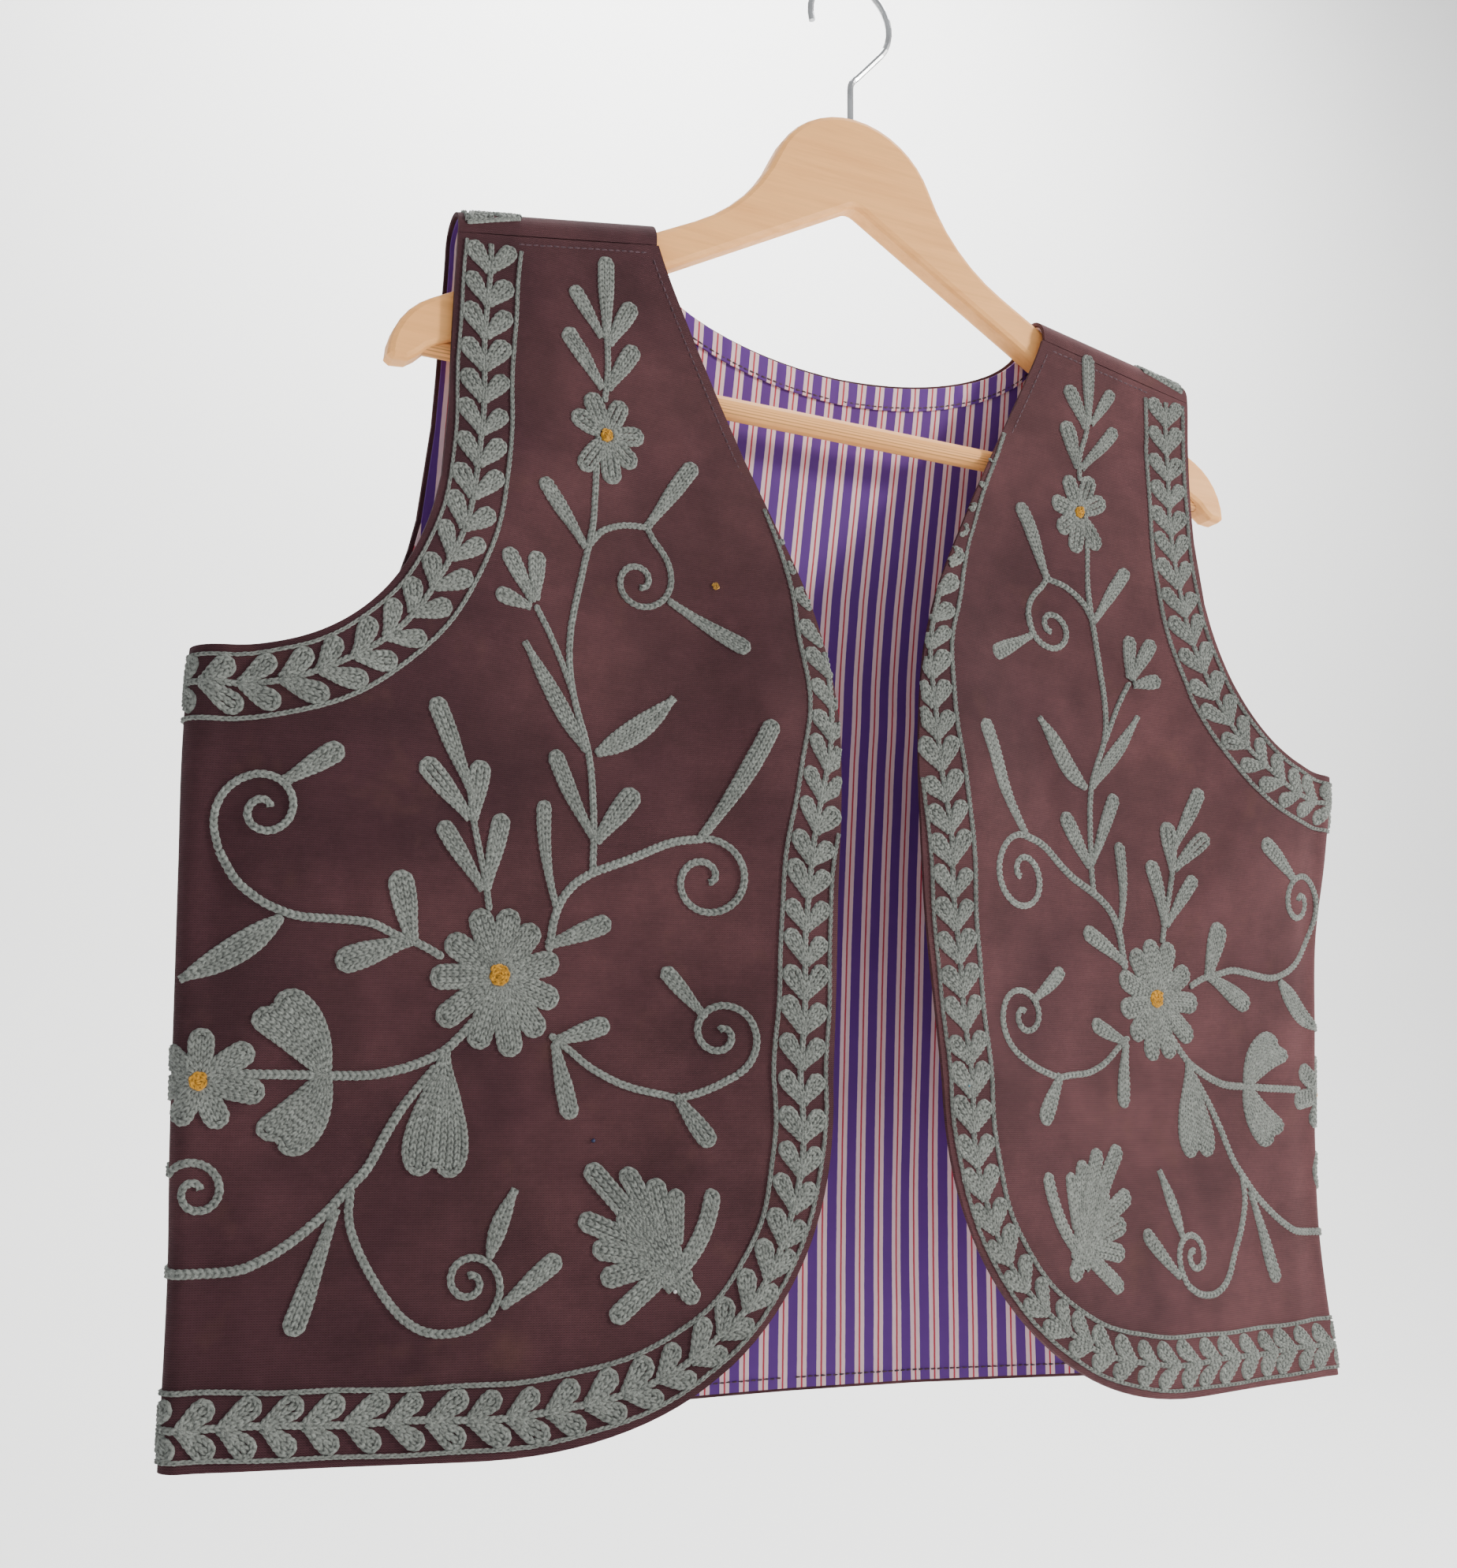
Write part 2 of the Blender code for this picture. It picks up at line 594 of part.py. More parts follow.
# Panels ---------------------------------------------------------------------------------------
def front_panel(side, name, finish, home):
    """A front, from the shoulder seam to the hem and round the fold to the side seam."""
    plumb = wrap_at(CREST_ARM[0], ARM_STRAIGHT)
    turns = [mix(-1.0, 1.0, k / FOLD_TURNS) for k in range(FOLD_TURNS + 1)]
    starts = 2 + len(turns)
    side_shares = [FOLD_SHARE] + [
        (wrap - quarter(ARM_STRAIGHT)) / (plumb - quarter(ARM_STRAIGHT))
        for wrap in ARM_STOPS[:2]] + [1.0]
    level_columns = starts + 1
    heights = [CORNER_TOP - (CORNER_TOP - HEM)
               * math.sin(math.radians(90.0 * k / CORNER_ROWS)) ** CORNER_EASE
               for k in range(CORNER_ROWS, -1, -1)]
    heights += list(FRONT_ROWS) + [ARMPIT] + [arm_height(wrap, 1) for wrap in ARM_STOPS]
    heights += [ARM_STRAIGHT, mix(ARM_STRAIGHT, TOP_LEVEL, 0.5), TOP_LEVEL]
    top_row = len(heights)
    rise_row = heights.index(ARMPIT) + 1
    neck = free_edge(shoulder_base(NECK_HALF))

    def place(column, row):
        height = heights[min(row, top_row - 1)]
        low = smooth_step((CORNER_TOP - height) / (CORNER_TOP - HEM))
        pivot = mix(plumb, HEM_PIVOT, low)
        flat_start = quarter(height)
        if column == 0:
            wrap = SIDE_SEAM + SIDE_GAP / 2.0
        elif column == 1:
            wrap = mix(SIDE_SEAM, -flat_start, 0.5)
        elif column < starts:
            wrap = flat_start * turns[column - 2]
        elif column < starts + len(side_shares):
            wrap = mix(flat_start, pivot, side_shares[column - starts])
        else:
            share = PANEL_SHARES[column - starts - len(side_shares)]
            wrap = mix(pivot, wrap_at(free_edge(height), height), share)
        if column < level_columns and row > rise_row:
            return None
        if column < level_columns and row == rise_row:
            return wrap, arm_height(max(wrap, LEVEL_END), 1)
        if height > ARMPIT:
            wrap = max(wrap, arm_edge(height, 1))
        if row < top_row:
            return wrap, height
        share = (wrap - plumb) / (wrap_at(free_edge(height), height) - plumb)
        out = mix(CREST_ARM[0], neck, share)
        seam = shoulder_base(out) - SEAM_BELOW_BASE - GAP / 2.0
        return wrap_at(out, seam), seam

    columns = starts + len(side_shares) + len(PANEL_SHARES) - 1
    return sheet(name, columns, top_row, place, finish, home, 0.0, -CANVAS, side)


def back_layout(inset):
    """Grid of the back's half: columns, rows and a function that places each point."""
    seam = SIDE_SEAM - SIDE_GAP / 2.0
    plumb = -wrap_at(CREST_ARM[0], ARM_STRAIGHT) - inset
    armpit = ARMPIT - inset
    roll_start = NECK_BOTTOM + NECK_RISE - shoulder_base(NECK_HALF)
    roll_end = math.pi * CREST_RADIUS + SEAM_BELOW_BASE - GAP / 2.0 - inset
    arm_base = shoulder_base(CREST_ARM[0])
    seam_neck = free_edge(shoulder_base(NECK_HALF))
    # Each row runs from a height at the side or armhole to a point of the middle or neck.
    rows = [(height, (0.0, height)) for height in (HEM + inset,) + BACK_ROWS + (armpit,)]
    rows += [(arm_height(wrap, -1) - inset, (0.0, arm_height(wrap, -1) - inset))
             for wrap in BACK_ARM_STOPS]
    rows += [(at_arm, (0.0, at_middle))
             for at_arm, at_middle in ((ARM_STRAIGHT, ARM_STRAIGHT),) + BACK_UPPER]
    for step in range(NECK_STEPS + 1):
        share = step / NECK_STEPS
        out, height = neck_edge(90.0 * share)
        turn = math.radians(90.0 * share)
        at_arm = mix(NECK_BOTTOM - NECK_ROW_DROP, arm_base + roll_start, share ** NECK_ROW_EASE)
        rows.append((at_arm, (out + inset * math.sin(turn), height - inset * math.cos(turn))))
    climbs = [mix(roll_start, math.pi * CREST_RADIUS, step / ROLL_STEPS)
              for step in range(1, ROLL_STEPS + 1)] + [roll_end]
    for climb in climbs:
        out = mix(NECK_HALF, seam_neck, (climb - roll_start) / (roll_end - roll_start)) + inset
        rows.append((arm_base + climb, (out, shoulder_base(out) + climb)))
    outer = (seam,) + BACK_SIDE

    def place(column, row):
        at_arm, (neck_out, neck_height) = rows[row]
        share = max(0, column - len(outer)) / BACK_ACROSS
        height = mix(at_arm, neck_height, share)
        if column < len(outer):
            wrap = outer[column]
        else:
            wrap = mix(plumb, -wrap_at(neck_out, height), share)
        if at_arm > armpit:
            wrap = min(wrap, arm_edge(at_arm + inset, -1) - inset, seam)
        if at_arm >= ARM_STRAIGHT:
            wrap = min(wrap, plumb)
        return wrap, height

    return len(outer) + BACK_ACROSS, len(rows) - 1, place


def back_pieces(canvas, cotton, home):
    """The back, its striped lining, and the facing that follows the neckline."""
    columns, rows, place = back_layout(0.0)
    sheet("back", columns, rows, place, canvas, home, 0.0, -CANVAS, whole=True)
    columns, rows, place = back_layout(LINING_INSET)
    lining_lift = -CANVAS - GAP
    sheet("back_lining", columns, rows, place, cotton, home, lining_lift, -LINING, whole=True)

    def facing(column, row):
        turn = FACING_TURN * row / FACING_ROWS
        lean = math.radians(turn)
        out, height = neck_edge(turn)
        away = LINING_INSET + FACING_WIDTH * column / 2.0
        out, height = out + away * math.sin(lean), height - away * math.cos(lean)
        return -wrap_at(out, height), height

    sheet("neck_facing", 2, FACING_ROWS, facing, cotton, home, lining_lift - LINING - GAP,
          -LINING, whole=True)


# Embroidery -----------------------------------------------------------------------------------
class Path:
    """A line on the skin, in wrap and height, measured along its length."""

    def __init__(self, points):
        self.points = [Vector(point) for point in points]
        self.marks = [0.0]
        for first, second in zip(self.points, self.points[1:]):
            self.marks.append(self.marks[-1] + (second - first).length)
        self.length = self.marks[-1]

    def at(self, distance):
        """Point and direction at a distance from the start."""
        distance = min(max(distance, 0.0), self.length)
        k = max(i for i in range(len(self.marks) - 1) if self.marks[i] <= distance + 1e-9)
        span = self.marks[k + 1] - self.marks[k]
        point = self.points[k].lerp(self.points[k + 1], (distance - self.marks[k]) / span)
        before = self.points[max(k - 1, 0)]
        after = self.points[min(k + 2, len(self.points) - 1)]
        return point, (after - before).normalized()

    def offset(self, away):
        """The line moved to its left, or to its right where away is negative."""
        moved = []
        for mark in self.marks:
            point, along = self.at(mark)
            moved.append(point + Vector((-along.y, along.x)) * away)
        return Path(moved)


def curved(points, steps=6):
    """Points of a smooth line through a few given ones."""
    marks = list(range(len(points)))
    return [(spline(marks, [p[0] for p in points], k / steps),
             spline(marks, [p[1] for p in points], k / steps))
            for k in range((len(points) - 1) * steps + 1)]


def trail(name, path, stations, finish, home, side, whole=False, across=2):
    """A raised strip along a path; each station is a distance and a half width."""
    ends = []
    for distance, half in stations:
        point, along = path.at(distance)
        sideways = Vector((-along.y, along.x)) * half
        ends.append((point - sideways, point + sideways))

    def place(column, row):
        low, high = ends[row]
        point = low.lerp(high, column / across)
        return point.x, point.y

    return sheet(name, across, len(ends) - 1, place, finish, home, WOOL_GAP, WOOL, side, whole)


def border_stations(path):
    """Leaf pairs along a border: narrow between pairs, wide at the tips, closer at the fold."""
    pairs = round(path.length / BORDER_PITCH)
    pitch = path.length / pairs
    marks = []
    for pair in range(pairs):
        marks.append((pair * pitch, BORDER_NOTCH))
        marks.append(((pair + TIP_SHARE) * pitch, BORDER_TIP))
    marks.append((path.length, BORDER_NOTCH))
    stations = [marks[0]]
    for (start, low), (end, high) in zip(marks, marks[1:]):
        first, second = path.at(start)[0], path.at(end)[0]
        bent = min(abs(first.x), abs(second.x)) < FOLD_ZONE or max(first.y, second.y) > ROLL_ZONE
        parts = max(1, math.ceil((end - start) / FOLD_STEP)) if bent else 1
        stations += [(mix(start, end, k / parts), mix(low, high, k / parts))
                     for k in range(1, parts + 1)]
    return stations


def front_edge_line():
    """The free edge from the border's start, round the corner and along the hem to the seam."""
    heights = [mix(EDGE_BORDER_TOP, CORNER_TOP, k / 20.0) for k in range(20)]
    turns = [math.radians(90.0 * k / 24.0) for k in range(25)]
    heights += [CORNER_TOP - (CORNER_TOP - HEM) * math.sin(turn) ** CORNER_EASE for turn in turns]
    line = [(wrap_at(free_edge(height), height), height) for height in heights]
    start = wrap_at(CORNER_END, HEM)
    return line + [(mix(start, SIDE_SEAM, k / 12.0), HEM) for k in range(1, 13)]


def arm_line(face):
    """The armhole's edge from the shoulder seam down to the side seam."""
    top = shoulder_base(CREST_ARM[0]) - SEAM_BELOW_BASE if face > 0 else (
        shoulder_base(CREST_ARM[0]) + math.pi * CREST_RADIUS)
    plumb = face * wrap_at(CREST_ARM[0], ARM_STRAIGHT)
    line = [(plumb, mix(top, ARM_STRAIGHT, k / 10.0)) for k in range(10)]
    for k in range(21):
        turn = math.radians(90.0 * k / 20.0)
        level_end = LEVEL_END if face > 0 else SIDE_SEAM
        power = 2.0 / ARM_ROUNDNESS
        line.append((level_end + (plumb - level_end) * math.cos(turn) ** power,
                     ARM_STRAIGHT - (ARM_STRAIGHT - ARMPIT) * math.sin(turn) ** power))
    if face > 0:
        line += [(mix(LEVEL_END, SIDE_SEAM, k / 8.0), ARMPIT) for k in range(1, 9)]
    return line


def trimmed(path, start, end):
    """A path with its ends cut back."""
    steps = max(2, round(path.length / BORDER_SAMPLE))
    return Path([path.at(mix(start, path.length - end, k / steps))[0] for k in range(steps + 1)])


def borders(wool, home):
    """Leaf borders along the free edges, the armholes and the hem."""
    edge = trimmed(Path(front_edge_line()).offset(-BORDER_FROM_EDGE), 0.0, BORDER_END)
    front_arm = trimmed(Path(arm_line(1)).offset(BORDER_FROM_EDGE), BORDER_END, BORDER_END)
    back_arm = trimmed(Path(arm_line(-1)).offset(-BORDER_FROM_EDGE), BORDER_END, BORDER_END)
    for side, label in ((1, "right"), (-1, "left")):
        trail("edge_border_" + label, edge, border_stations(edge), wool, home, side)
        trail("arm_border_" + label, front_arm, border_stations(front_arm), wool, home, side)
        trail("back_arm_border_" + label, back_arm, border_stations(back_arm), wool, home, side)
    level = HEM + BORDER_FROM_EDGE
    middle = -wrap_at(0.0, level)
    hem = Path([(mix(SIDE_SEAM - BORDER_END, middle, k / 40.0), level) for k in range(41)])
    trail("hem_border_back", hem, border_stations(hem), wool, home, 1, whole=True, across=1)


def flower(name, centre, radius, petals, finish, home, side):
    """A scalloped disc: a ring of petals round a centre."""
    steps = 2 * petals
    out, height = centre

    def place(column, row):
        angle = 2.0 * math.pi * column / steps
        reach = radius * (1.0 if column % 2 else PETAL_NOTCH) * row / 2.0
        level = height + reach * math.cos(angle)
        return wrap_at(out + reach * math.sin(angle), level), level

    return sheet(name, steps, 2, place, finish, home, WOOL_GAP, WOOL, side)


def side_flower(finish, home, side, label):
    """The flower that lies round the side fold, built in upright slices that follow the fold."""
    centre, height, radius = SIDE_FLOWER
    slices = SIDE_FLOWER_SLICES

    def place(column, row):
        turn = math.pi * (row + FLOWER_END) / (slices + 2.0 * FLOWER_END)
        scallop = 1.0 if row % 2 else PETAL_NOTCH
        wrap = centre - radius * math.cos(turn)
        half = radius * math.sin(turn) * scallop
        return wrap, height + half * (column - 1.0)

    return sheet("side_flower_" + label, 2, slices, place, finish, home, WOOL_GAP, WOOL, side)


def on_front(points):
    return [(wrap_at(out, height), height) for out, height in points]


def motifs(wool, home):
    """Flowers, leaves, sprigs and stems of both fronts."""
    for side, label in ((1, "right"), (-1, "left")):
        for name, out, height, radius, petals in FLOWERS:
            flower(name + "_" + label, (out, height), radius, petals, wool, home, side)
        side_flower(wool, home, side, label)
        for name, base, tip, half, profile in LEAVES:
            path = Path(on_front((base, tip)))
            stations = [(path.length * along, half * width) for along, width in PROFILES[profile]]
            across = 2 if half > WIDE_LEAF else 1
            trail(name + "_" + label, path, stations, wool, home, side, across=across)
        for name, foot, top, widths in SPRIGS:
            path = Path(on_front((foot, top)))
            stations = [(path.length * along, half) for along, half in widths]
            trail(name + "_" + label, path, stations, wool, home, side)
        for name, points in STEMS:
            path = Path(on_front(curved(points)))
            steps = round(path.length / STEM_STEP)
            stations = [(path.length * k / steps, STEM_HALF) for k in range(steps + 1)]
            trail(name + "_" + label, path, stations, wool, home, side, across=1)


def main():
    clear_scene()
    parts = collection("embroidered_waistcoat")
    cutters = collection("cutters")
    wood = material("pale_wood", (0.80, 0.55, 0.34), 0.45)
    steel = material("steel_wire", (0.62, 0.62, 0.63), 0.28, 1.0)
    canvas = material("plum_canvas", (0.115, 0.052, 0.062), 0.9)
    cotton = material("striped_cotton", (0.34, 0.16, 0.50), 0.85)
    wool = material("grey_green_wool", (0.22, 0.26, 0.21), 0.95)
    hanger_board(wood, parts, cutters)
    trouser_bar(wood, parts)
    hanger_hook(steel, parts)
    front_panel(-1, "front_left", canvas, parts)
    front_panel(1, "front_right", canvas, parts)
    back_pieces(canvas, cotton, parts)
    borders(wool, parts)
    motifs(wool, parts)


if __name__ == "__main__":
    main()
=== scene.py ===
"""Looks of the embroidered waistcoat on its wooden hanger: cloth, chain stitch, wood and steel."""

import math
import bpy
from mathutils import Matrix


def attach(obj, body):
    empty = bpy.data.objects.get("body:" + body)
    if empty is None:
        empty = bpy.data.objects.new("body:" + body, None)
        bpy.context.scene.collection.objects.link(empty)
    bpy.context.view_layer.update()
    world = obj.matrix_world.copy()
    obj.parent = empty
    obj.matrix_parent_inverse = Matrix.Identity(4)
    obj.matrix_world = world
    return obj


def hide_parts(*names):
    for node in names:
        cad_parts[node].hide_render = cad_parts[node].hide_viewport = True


bl_info = {
    "name": "Embroidered Waistcoat",
    "version": (1, 0, 0),
    "blender": (4, 5, 0),
    "location": "3D View > Sidebar > Waistcoat",
    "description": "Cloth shells, chain-stitched embroidery and hanger of an embroidered waistcoat",
    "category": "Object",
}

import bmesh
import bpy
import numpy as np
from bpy.props import FloatProperty, FloatVectorProperty, IntProperty, PointerProperty
from mathutils import Matrix, Vector

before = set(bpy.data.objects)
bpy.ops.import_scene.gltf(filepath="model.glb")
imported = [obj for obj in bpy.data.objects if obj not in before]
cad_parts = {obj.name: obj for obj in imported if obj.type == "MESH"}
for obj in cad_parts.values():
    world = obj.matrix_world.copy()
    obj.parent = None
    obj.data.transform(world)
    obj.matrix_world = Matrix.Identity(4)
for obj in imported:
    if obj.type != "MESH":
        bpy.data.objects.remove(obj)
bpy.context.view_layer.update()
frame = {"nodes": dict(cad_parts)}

MM = 0.001

# Sizes in millimetres and turns in degrees; heights are measured from the hanger's crown ----------
HOOK_RISE = 78.0
# Walls of the cloth, and the gaps between walls that lie on each other or meet at a seam.
CANVAS, LINING, GAP, SEAM_GAP = 1.8, 1.0, 0.3, 0.05
# The garment's edges. A roundness is the power of the curve that turns a corner.
HEM, SIDE_SEAM = -603.5, -35.0
ARM_STRAIGHT, ARMPIT, ARM_ROUNDNESS, LEVEL_END = -190.0, -304.5, 2.3, 14.0
NECK_BOTTOM, NECK_HALF, NECK_RISE = -128.5, 106.0, 42.0
CORNER_TOP, CORNER_END, CORNER_ROUNDNESS = -465.0, 175.0, 2.25
# The shoulder: a roll under its crest, given at neck and arm, and a seam on the front below it.
CREST_NECK, CREST_ARM, CREST_RADIUS = (108.0, -83.6), (197.0, -99.5), 11.0
SHOULDER_EASE, SEAM_BELOW_BASE = 25.0, 2.5
# Where the panels' grids change: the level above which rows tilt, and the fold's fine columns.
TOP_LEVEL, WIDE_WRAP = -130.0, 45.0
MERGE_DISTANCE, NORMAL_STEP = 0.02, 0.6
# Lining and facing, with their rims as shares of the canvas's.
LINING_INSET, FACING_WIDTH, FACING_TURN = 1.5, 11.0, 72.0
FACING_STRIPE_SHIFT, PUCKER, LINING_RIM, FACING_RIM = 3.4, 0.45, 0.6, 0.5
# Borders: the leaves' pitch, and how far the stem lies from an edge and from its border's sides.
BORDER_FROM_EDGE, BORDER_PITCH, BORDER_INNER, BORDER_OUTER = 14.5, 14.5, 11.5, 11.0
ARM_BORDER_INNER, CORNER_MARGIN = 13.0, 3.5
# Running stitch, and how far its lines lie from the edges.
SEAM_STITCH, SEAM_HEIGHT, SEAM_THREAD = 3.2, 0.4, 0.9
EDGE_SEAM_IN, EDGE_SEAM_DROP, HEM_SEAM_RISE, HEM_SEAM_END = 5.0, 10.0, 6.0, 4.0
SHOULDER_SEAM_DROP, SHOULDER_SEAM_NECK, SHOULDER_SEAM_ARM, FACING_SEAM_IN = 4.0, 5.0, 26.0, 1.6
# How much a crease bows, how much deeper it is where it lies on one side alone, and how it fades.
CREASE_BOW, ONE_SIDE_CREASE, CALM_BELOW_TOP, CALM_BESIDE_FOLD = 0.0012, 1.4, 20.0, 30.0
# Grooves turned in the bar, and seeds beside the wool's.
GROOVE_PITCH, GROOVES_END = 1.25, -4.4
BACK_SEED, SEAM_SEED = 20, 40

FREE_EDGE = (
    # height, out
    (-465, 27), (-390, 22), (-320, 20), (-280, 24.7), (-244, 35.5), (-200, 56.3), (-110, 99.8),
    (-84, 109.5),
)
EDGE_BORDER = (
    # left front's height, right front's, and how far in the border's inner line lies there
    (-603.5, -603.5, 26), (-596, -596, 24.5), (-575, -575, 22.5), (-535, -535, 22),
    (-500, -500, 24), (-465, -465, 26), (-430, -430, 26), (-385, -360, 26), (-350, -320, 22),
    (-315, -278, 16), (-293, -257, 13.3), (-270, -238, 12), (-258, -222, 9), (-245, -206, 5.6),
    (-227, -170, 2.8), (-212, -151, 1.2),
)
FOLD = (
    # height, out, depth, radius
    (-604, 278, 6.5, 7), (-540, 278.7, 14.5, 7), (-490, 281.5, 16.7, 7), (-440, 284, 15.5, 7),
    (-390, 286.5, 14, 7.5), (-345, 289.3, 7.5, 10), (-305, 290, 3.5, 14), (-95, 290, 3.5, 14),
)
FRONT_COLUMNS = (20, 50, 90, 140, 190, 230, 262)
FRONT_DEPTH = (
    # height, depth at each distance from the fold
    (-604, (-4, -9, -17.5, -28.5, -38.5, -41.5, -41)),
    (-540, (2.5, -3, -11.5, -21.5, -32, -36.5, -37)),
    (-490, (5.5, 1, -5.5, -13.5, -25, -33, -34)),
    (-440, (4, 0, -4.5, -10, -19.5, -29.5, -31.5)),
    (-390, (-0.5, -5.5, -9, -12.5, -18.5, -27, -27.5)),
    (-345, (-8, -12.5, -13, -13.5, -18.5, -27.5, -27)),
    (-305, (-15, -17.5, -15.5, -13, -17, -26, -25)),
    (-270, (-15, -18, -16, -11.5, -12.5, -20.5, -20)),
    (-235, (-14, -15.5, -14.5, -10.5, -10.5, -15, -15)),
    (-200, (-11, -12, -11.5, -10, -10, -11, -11)),
    (-165, (-10, -10, -9.5, -9.5, -9.5, -9.5, -9.5)),
    (-130, (-10, -10, -10, -10, -10, -10, -10)),
    (-95, (-11, -11, -11, -11, -11, -11, -11)),
)
BACK_COLUMNS = (30, 80, 140, 210, 283)
BACK_DEPTH = (
    # height, depth at each distance from the fold
    (-604, (23, 36, 49.5, 59.5, 63)), (-540, (29, 39.5, 50.5, 59, 62)),
    (-490, (30.5, 40, 50, 57.5, 60.5)), (-440, (29.5, 38.5, 48, 55, 58)),
    (-390, (28, 37, 45.5, 52, 55)), (-345, (23.5, 33, 42, 48.5, 51.5)),
    (-305, (22, 31, 39, 45, 48)), (-270, (22, 29, 36.5, 42, 44.5)),
    (-235, (20.5, 26, 32, 37, 39.5)), (-200, (17.5, 21, 25.5, 30, 32)),
    (-165, (14.5, 16, 19, 22.5, 24.5)), (-130, (12, 12.5, 13.5, 15.5, 17)),
    (-95, (11, 11, 11, 11, 11)),
)
CREASES = (
    # side (0 both), wrap, height, length, width, turn from level, depth
    (-1, 150, -150, 60, 9, 12, -0.7), (-1, 118, -128, 22, 6, 85, -0.6),
    (-1, 170, -240, 90, 16, -35, 0.8), (-1, 80, -390, 80, 15, 70, 0.7),
    (-1, 190, -500, 110, 20, 30, 0.9), (-1, 60, -560, 90, 16, 8, -0.8),
    (-1, 210, -400, 70, 13, 80, -0.6), (-1, 130, -330, 80, 14, 20, -0.7),
    (1, 140, -145, 60, 9, -14, -0.7), (1, 176, -225, 80, 14, 50, 0.7),
    (1, 90, -360, 95, 15, -65, 0.8), (1, 150, -470, 120, 20, -20, 0.9),
    (1, 70, -545, 90, 15, 12, -0.8), (1, 200, -330, 70, 12, 75, -0.6),
    (1, 120, -280, 60, 12, -30, -0.6), (-1, 235, -330, 50, 9, 60, 0.5),
    (-1, 110, -470, 60, 10, -20, 0.5), (-1, 205, -560, 60, 9, 75, -0.6),
    (1, 150, -400, 50, 9, 40, -0.5), (1, 210, -250, 40, 8, -50, 0.5),
    (1, 100, -590, 80, 12, 5, 0.7), (-1, 215, -200, 44, 8, -60, 0.5),
    (0, -110, -230, 130, 22, 60, 1.2), (0, -180, -300, 170, 26, -12, -1.3),
    (-1, -90, -420, 150, 24, 78, 1.3), (1, -120, -440, 160, 26, -75, -1.2),
    (-1, -200, -500, 180, 30, 82, -1.4), (1, -220, -520, 150, 26, 88, 1.2),
    (0, -150, -180, 80, 14, 15, -0.8), (0, -60, -330, 70, 12, -40, -1),
)


def length_property(name, description, default):
    """A size in metres."""
    return FloatProperty(name=name, description=description, default=default, unit="LENGTH",
                         subtype="DISTANCE")


def stitch_property(name, description, default, low, high):
    """A size in millimetres, as the cloth and the embroidery are laid out."""
    return FloatProperty(name=name, description=description + ", in millimetres",
                         default=default, min=low, max=high)


def colour_property(name, description, default):
    return FloatVectorProperty(name=name, description=description, subtype="COLOR", size=3,
                               default=default, min=0.0, max=1.0)


class ClothSizes(bpy.types.PropertyGroup):
    """Fineness and finish of the cloth shells."""
    grain: stitch_property("Grain", "Length of cloth between two rows of a shell", 4.0, 1.5, 12.0)
    rim: length_property("Rim", "Rounding of the turned cloth edges", 0.0005)
    canvas: colour_property("Canvas", "Plum-brown of the canvas", (0.046, 0.0160, 0.0205))
    # This lighter colour stands for both the canvas's patchy fade and painted light on its side
    # toward +X.
    fade_and_side_light: colour_property("Faded canvas", "Colour where the canvas has faded",
                           (0.118, 0.047, 0.050))
    stripe: length_property("Stripe repeat", "Width of one repeat of the lining's stripes", 0.0099)


class WoolSizes(bpy.types.PropertyGroup):
    """Chain stitch of the embroidery."""
    stitch: stitch_property("Stitch", "Length of a chain stitch", 2.5, 1.5, 8.0)
    row: stitch_property("Row", "Width of a row of chain stitch", 2.2, 1.0, 5.0)
    height: stitch_property("Height", "How far the wool stands off the canvas", 1.2, 0.5, 4.0)
    seed: IntProperty(name="Hand", description="Seed of the hand-made unevenness", default=7)
    grey: colour_property("Wool", "Grey-green of the wool", (0.190, 0.203, 0.186))
    ochre: colour_property("Centres", "Ochre of the flowers' centres", (0.52, 0.25, 0.025))


class HangerSizes(bpy.types.PropertyGroup):
    """Wood and steel of the hanger."""
    wood: colour_property("Wood", "Pale wood", (0.96, 0.46, 0.150))
    steel: colour_property("Steel", "Steel wire", (0.55, 0.56, 0.57))


# Smooth curves ----------------------------------------------------------------------------------
def spline(knots, values, at, flat_start=False):
    """Smooth curve through values at rising knots, level beyond them; values may be per point."""
    knots, values = np.asarray(knots, float), np.asarray(values, float)
    at = np.clip(np.asarray(at, float), knots[0], knots[-1])
    last = len(knots) - 1
    i = np.clip(np.searchsorted(knots, at, side="right") - 1, 0, last - 1)
    each = np.arange(at.size)

    def pick(k):
        return values[k] if values.ndim == 1 else values[k, each]

    def slope(k):
        low, high = np.maximum(k - 1, 0), np.minimum(k + 1, last)
        lean = (pick(high) - pick(low)) / (knots[high] - knots[low])
        return np.where((k == 0) & flat_start, 0.0, lean)

    span = knots[i + 1] - knots[i]
    t = (at - knots[i]) / span
    bend = (2 * t ** 3 - 3 * t ** 2 + 1) * pick(i) + (3 * t ** 2 - 2 * t ** 3) * pick(i + 1)
    return bend + ((t ** 3 - 2 * t ** 2 + t) * slope(i) + (t ** 3 - t ** 2) * slope(i + 1)) * span


def table(rows, at, column=1):
    """A table's column as a smooth curve over its first column."""
    return spline([row[0] for row in rows], [row[column] for row in rows], at)


def smooth_step(t):
    t = np.clip(t, 0.0, 1.0)
    return t * t * (3.0 - 2.0 * t)


def mix(start, end, t):
    return start + (end - start) * t


def rounded(drop, roundness):
    """A rounded corner: 1 at no drop and 0 at a whole one."""
    return np.maximum(0.0, 1.0 - np.clip(drop, 0.0, 1.0) ** roundness) ** (1.0 / roundness)


def pair(first, second):
    """Rows of two coordinates, each given as a number or an array."""
    return np.stack(np.broadcast_arrays(first, second), axis=-1)


# The cloth's skin -------------------------------------------------------------------------------
def quarter(height):
    """Length of a quarter turn round the side fold."""
    return math.pi * table(FOLD, height, 3) / 2.0


def flat_reach(height):
    """How far out the panels run before they turn round the fold."""
    return table(FOLD, height) - table(FOLD, height, 3)


def wrap_at(out, height):
    """Distance round from the side fold of a place on the front that lies so far out."""
    return flat_reach(height) + quarter(height) - out


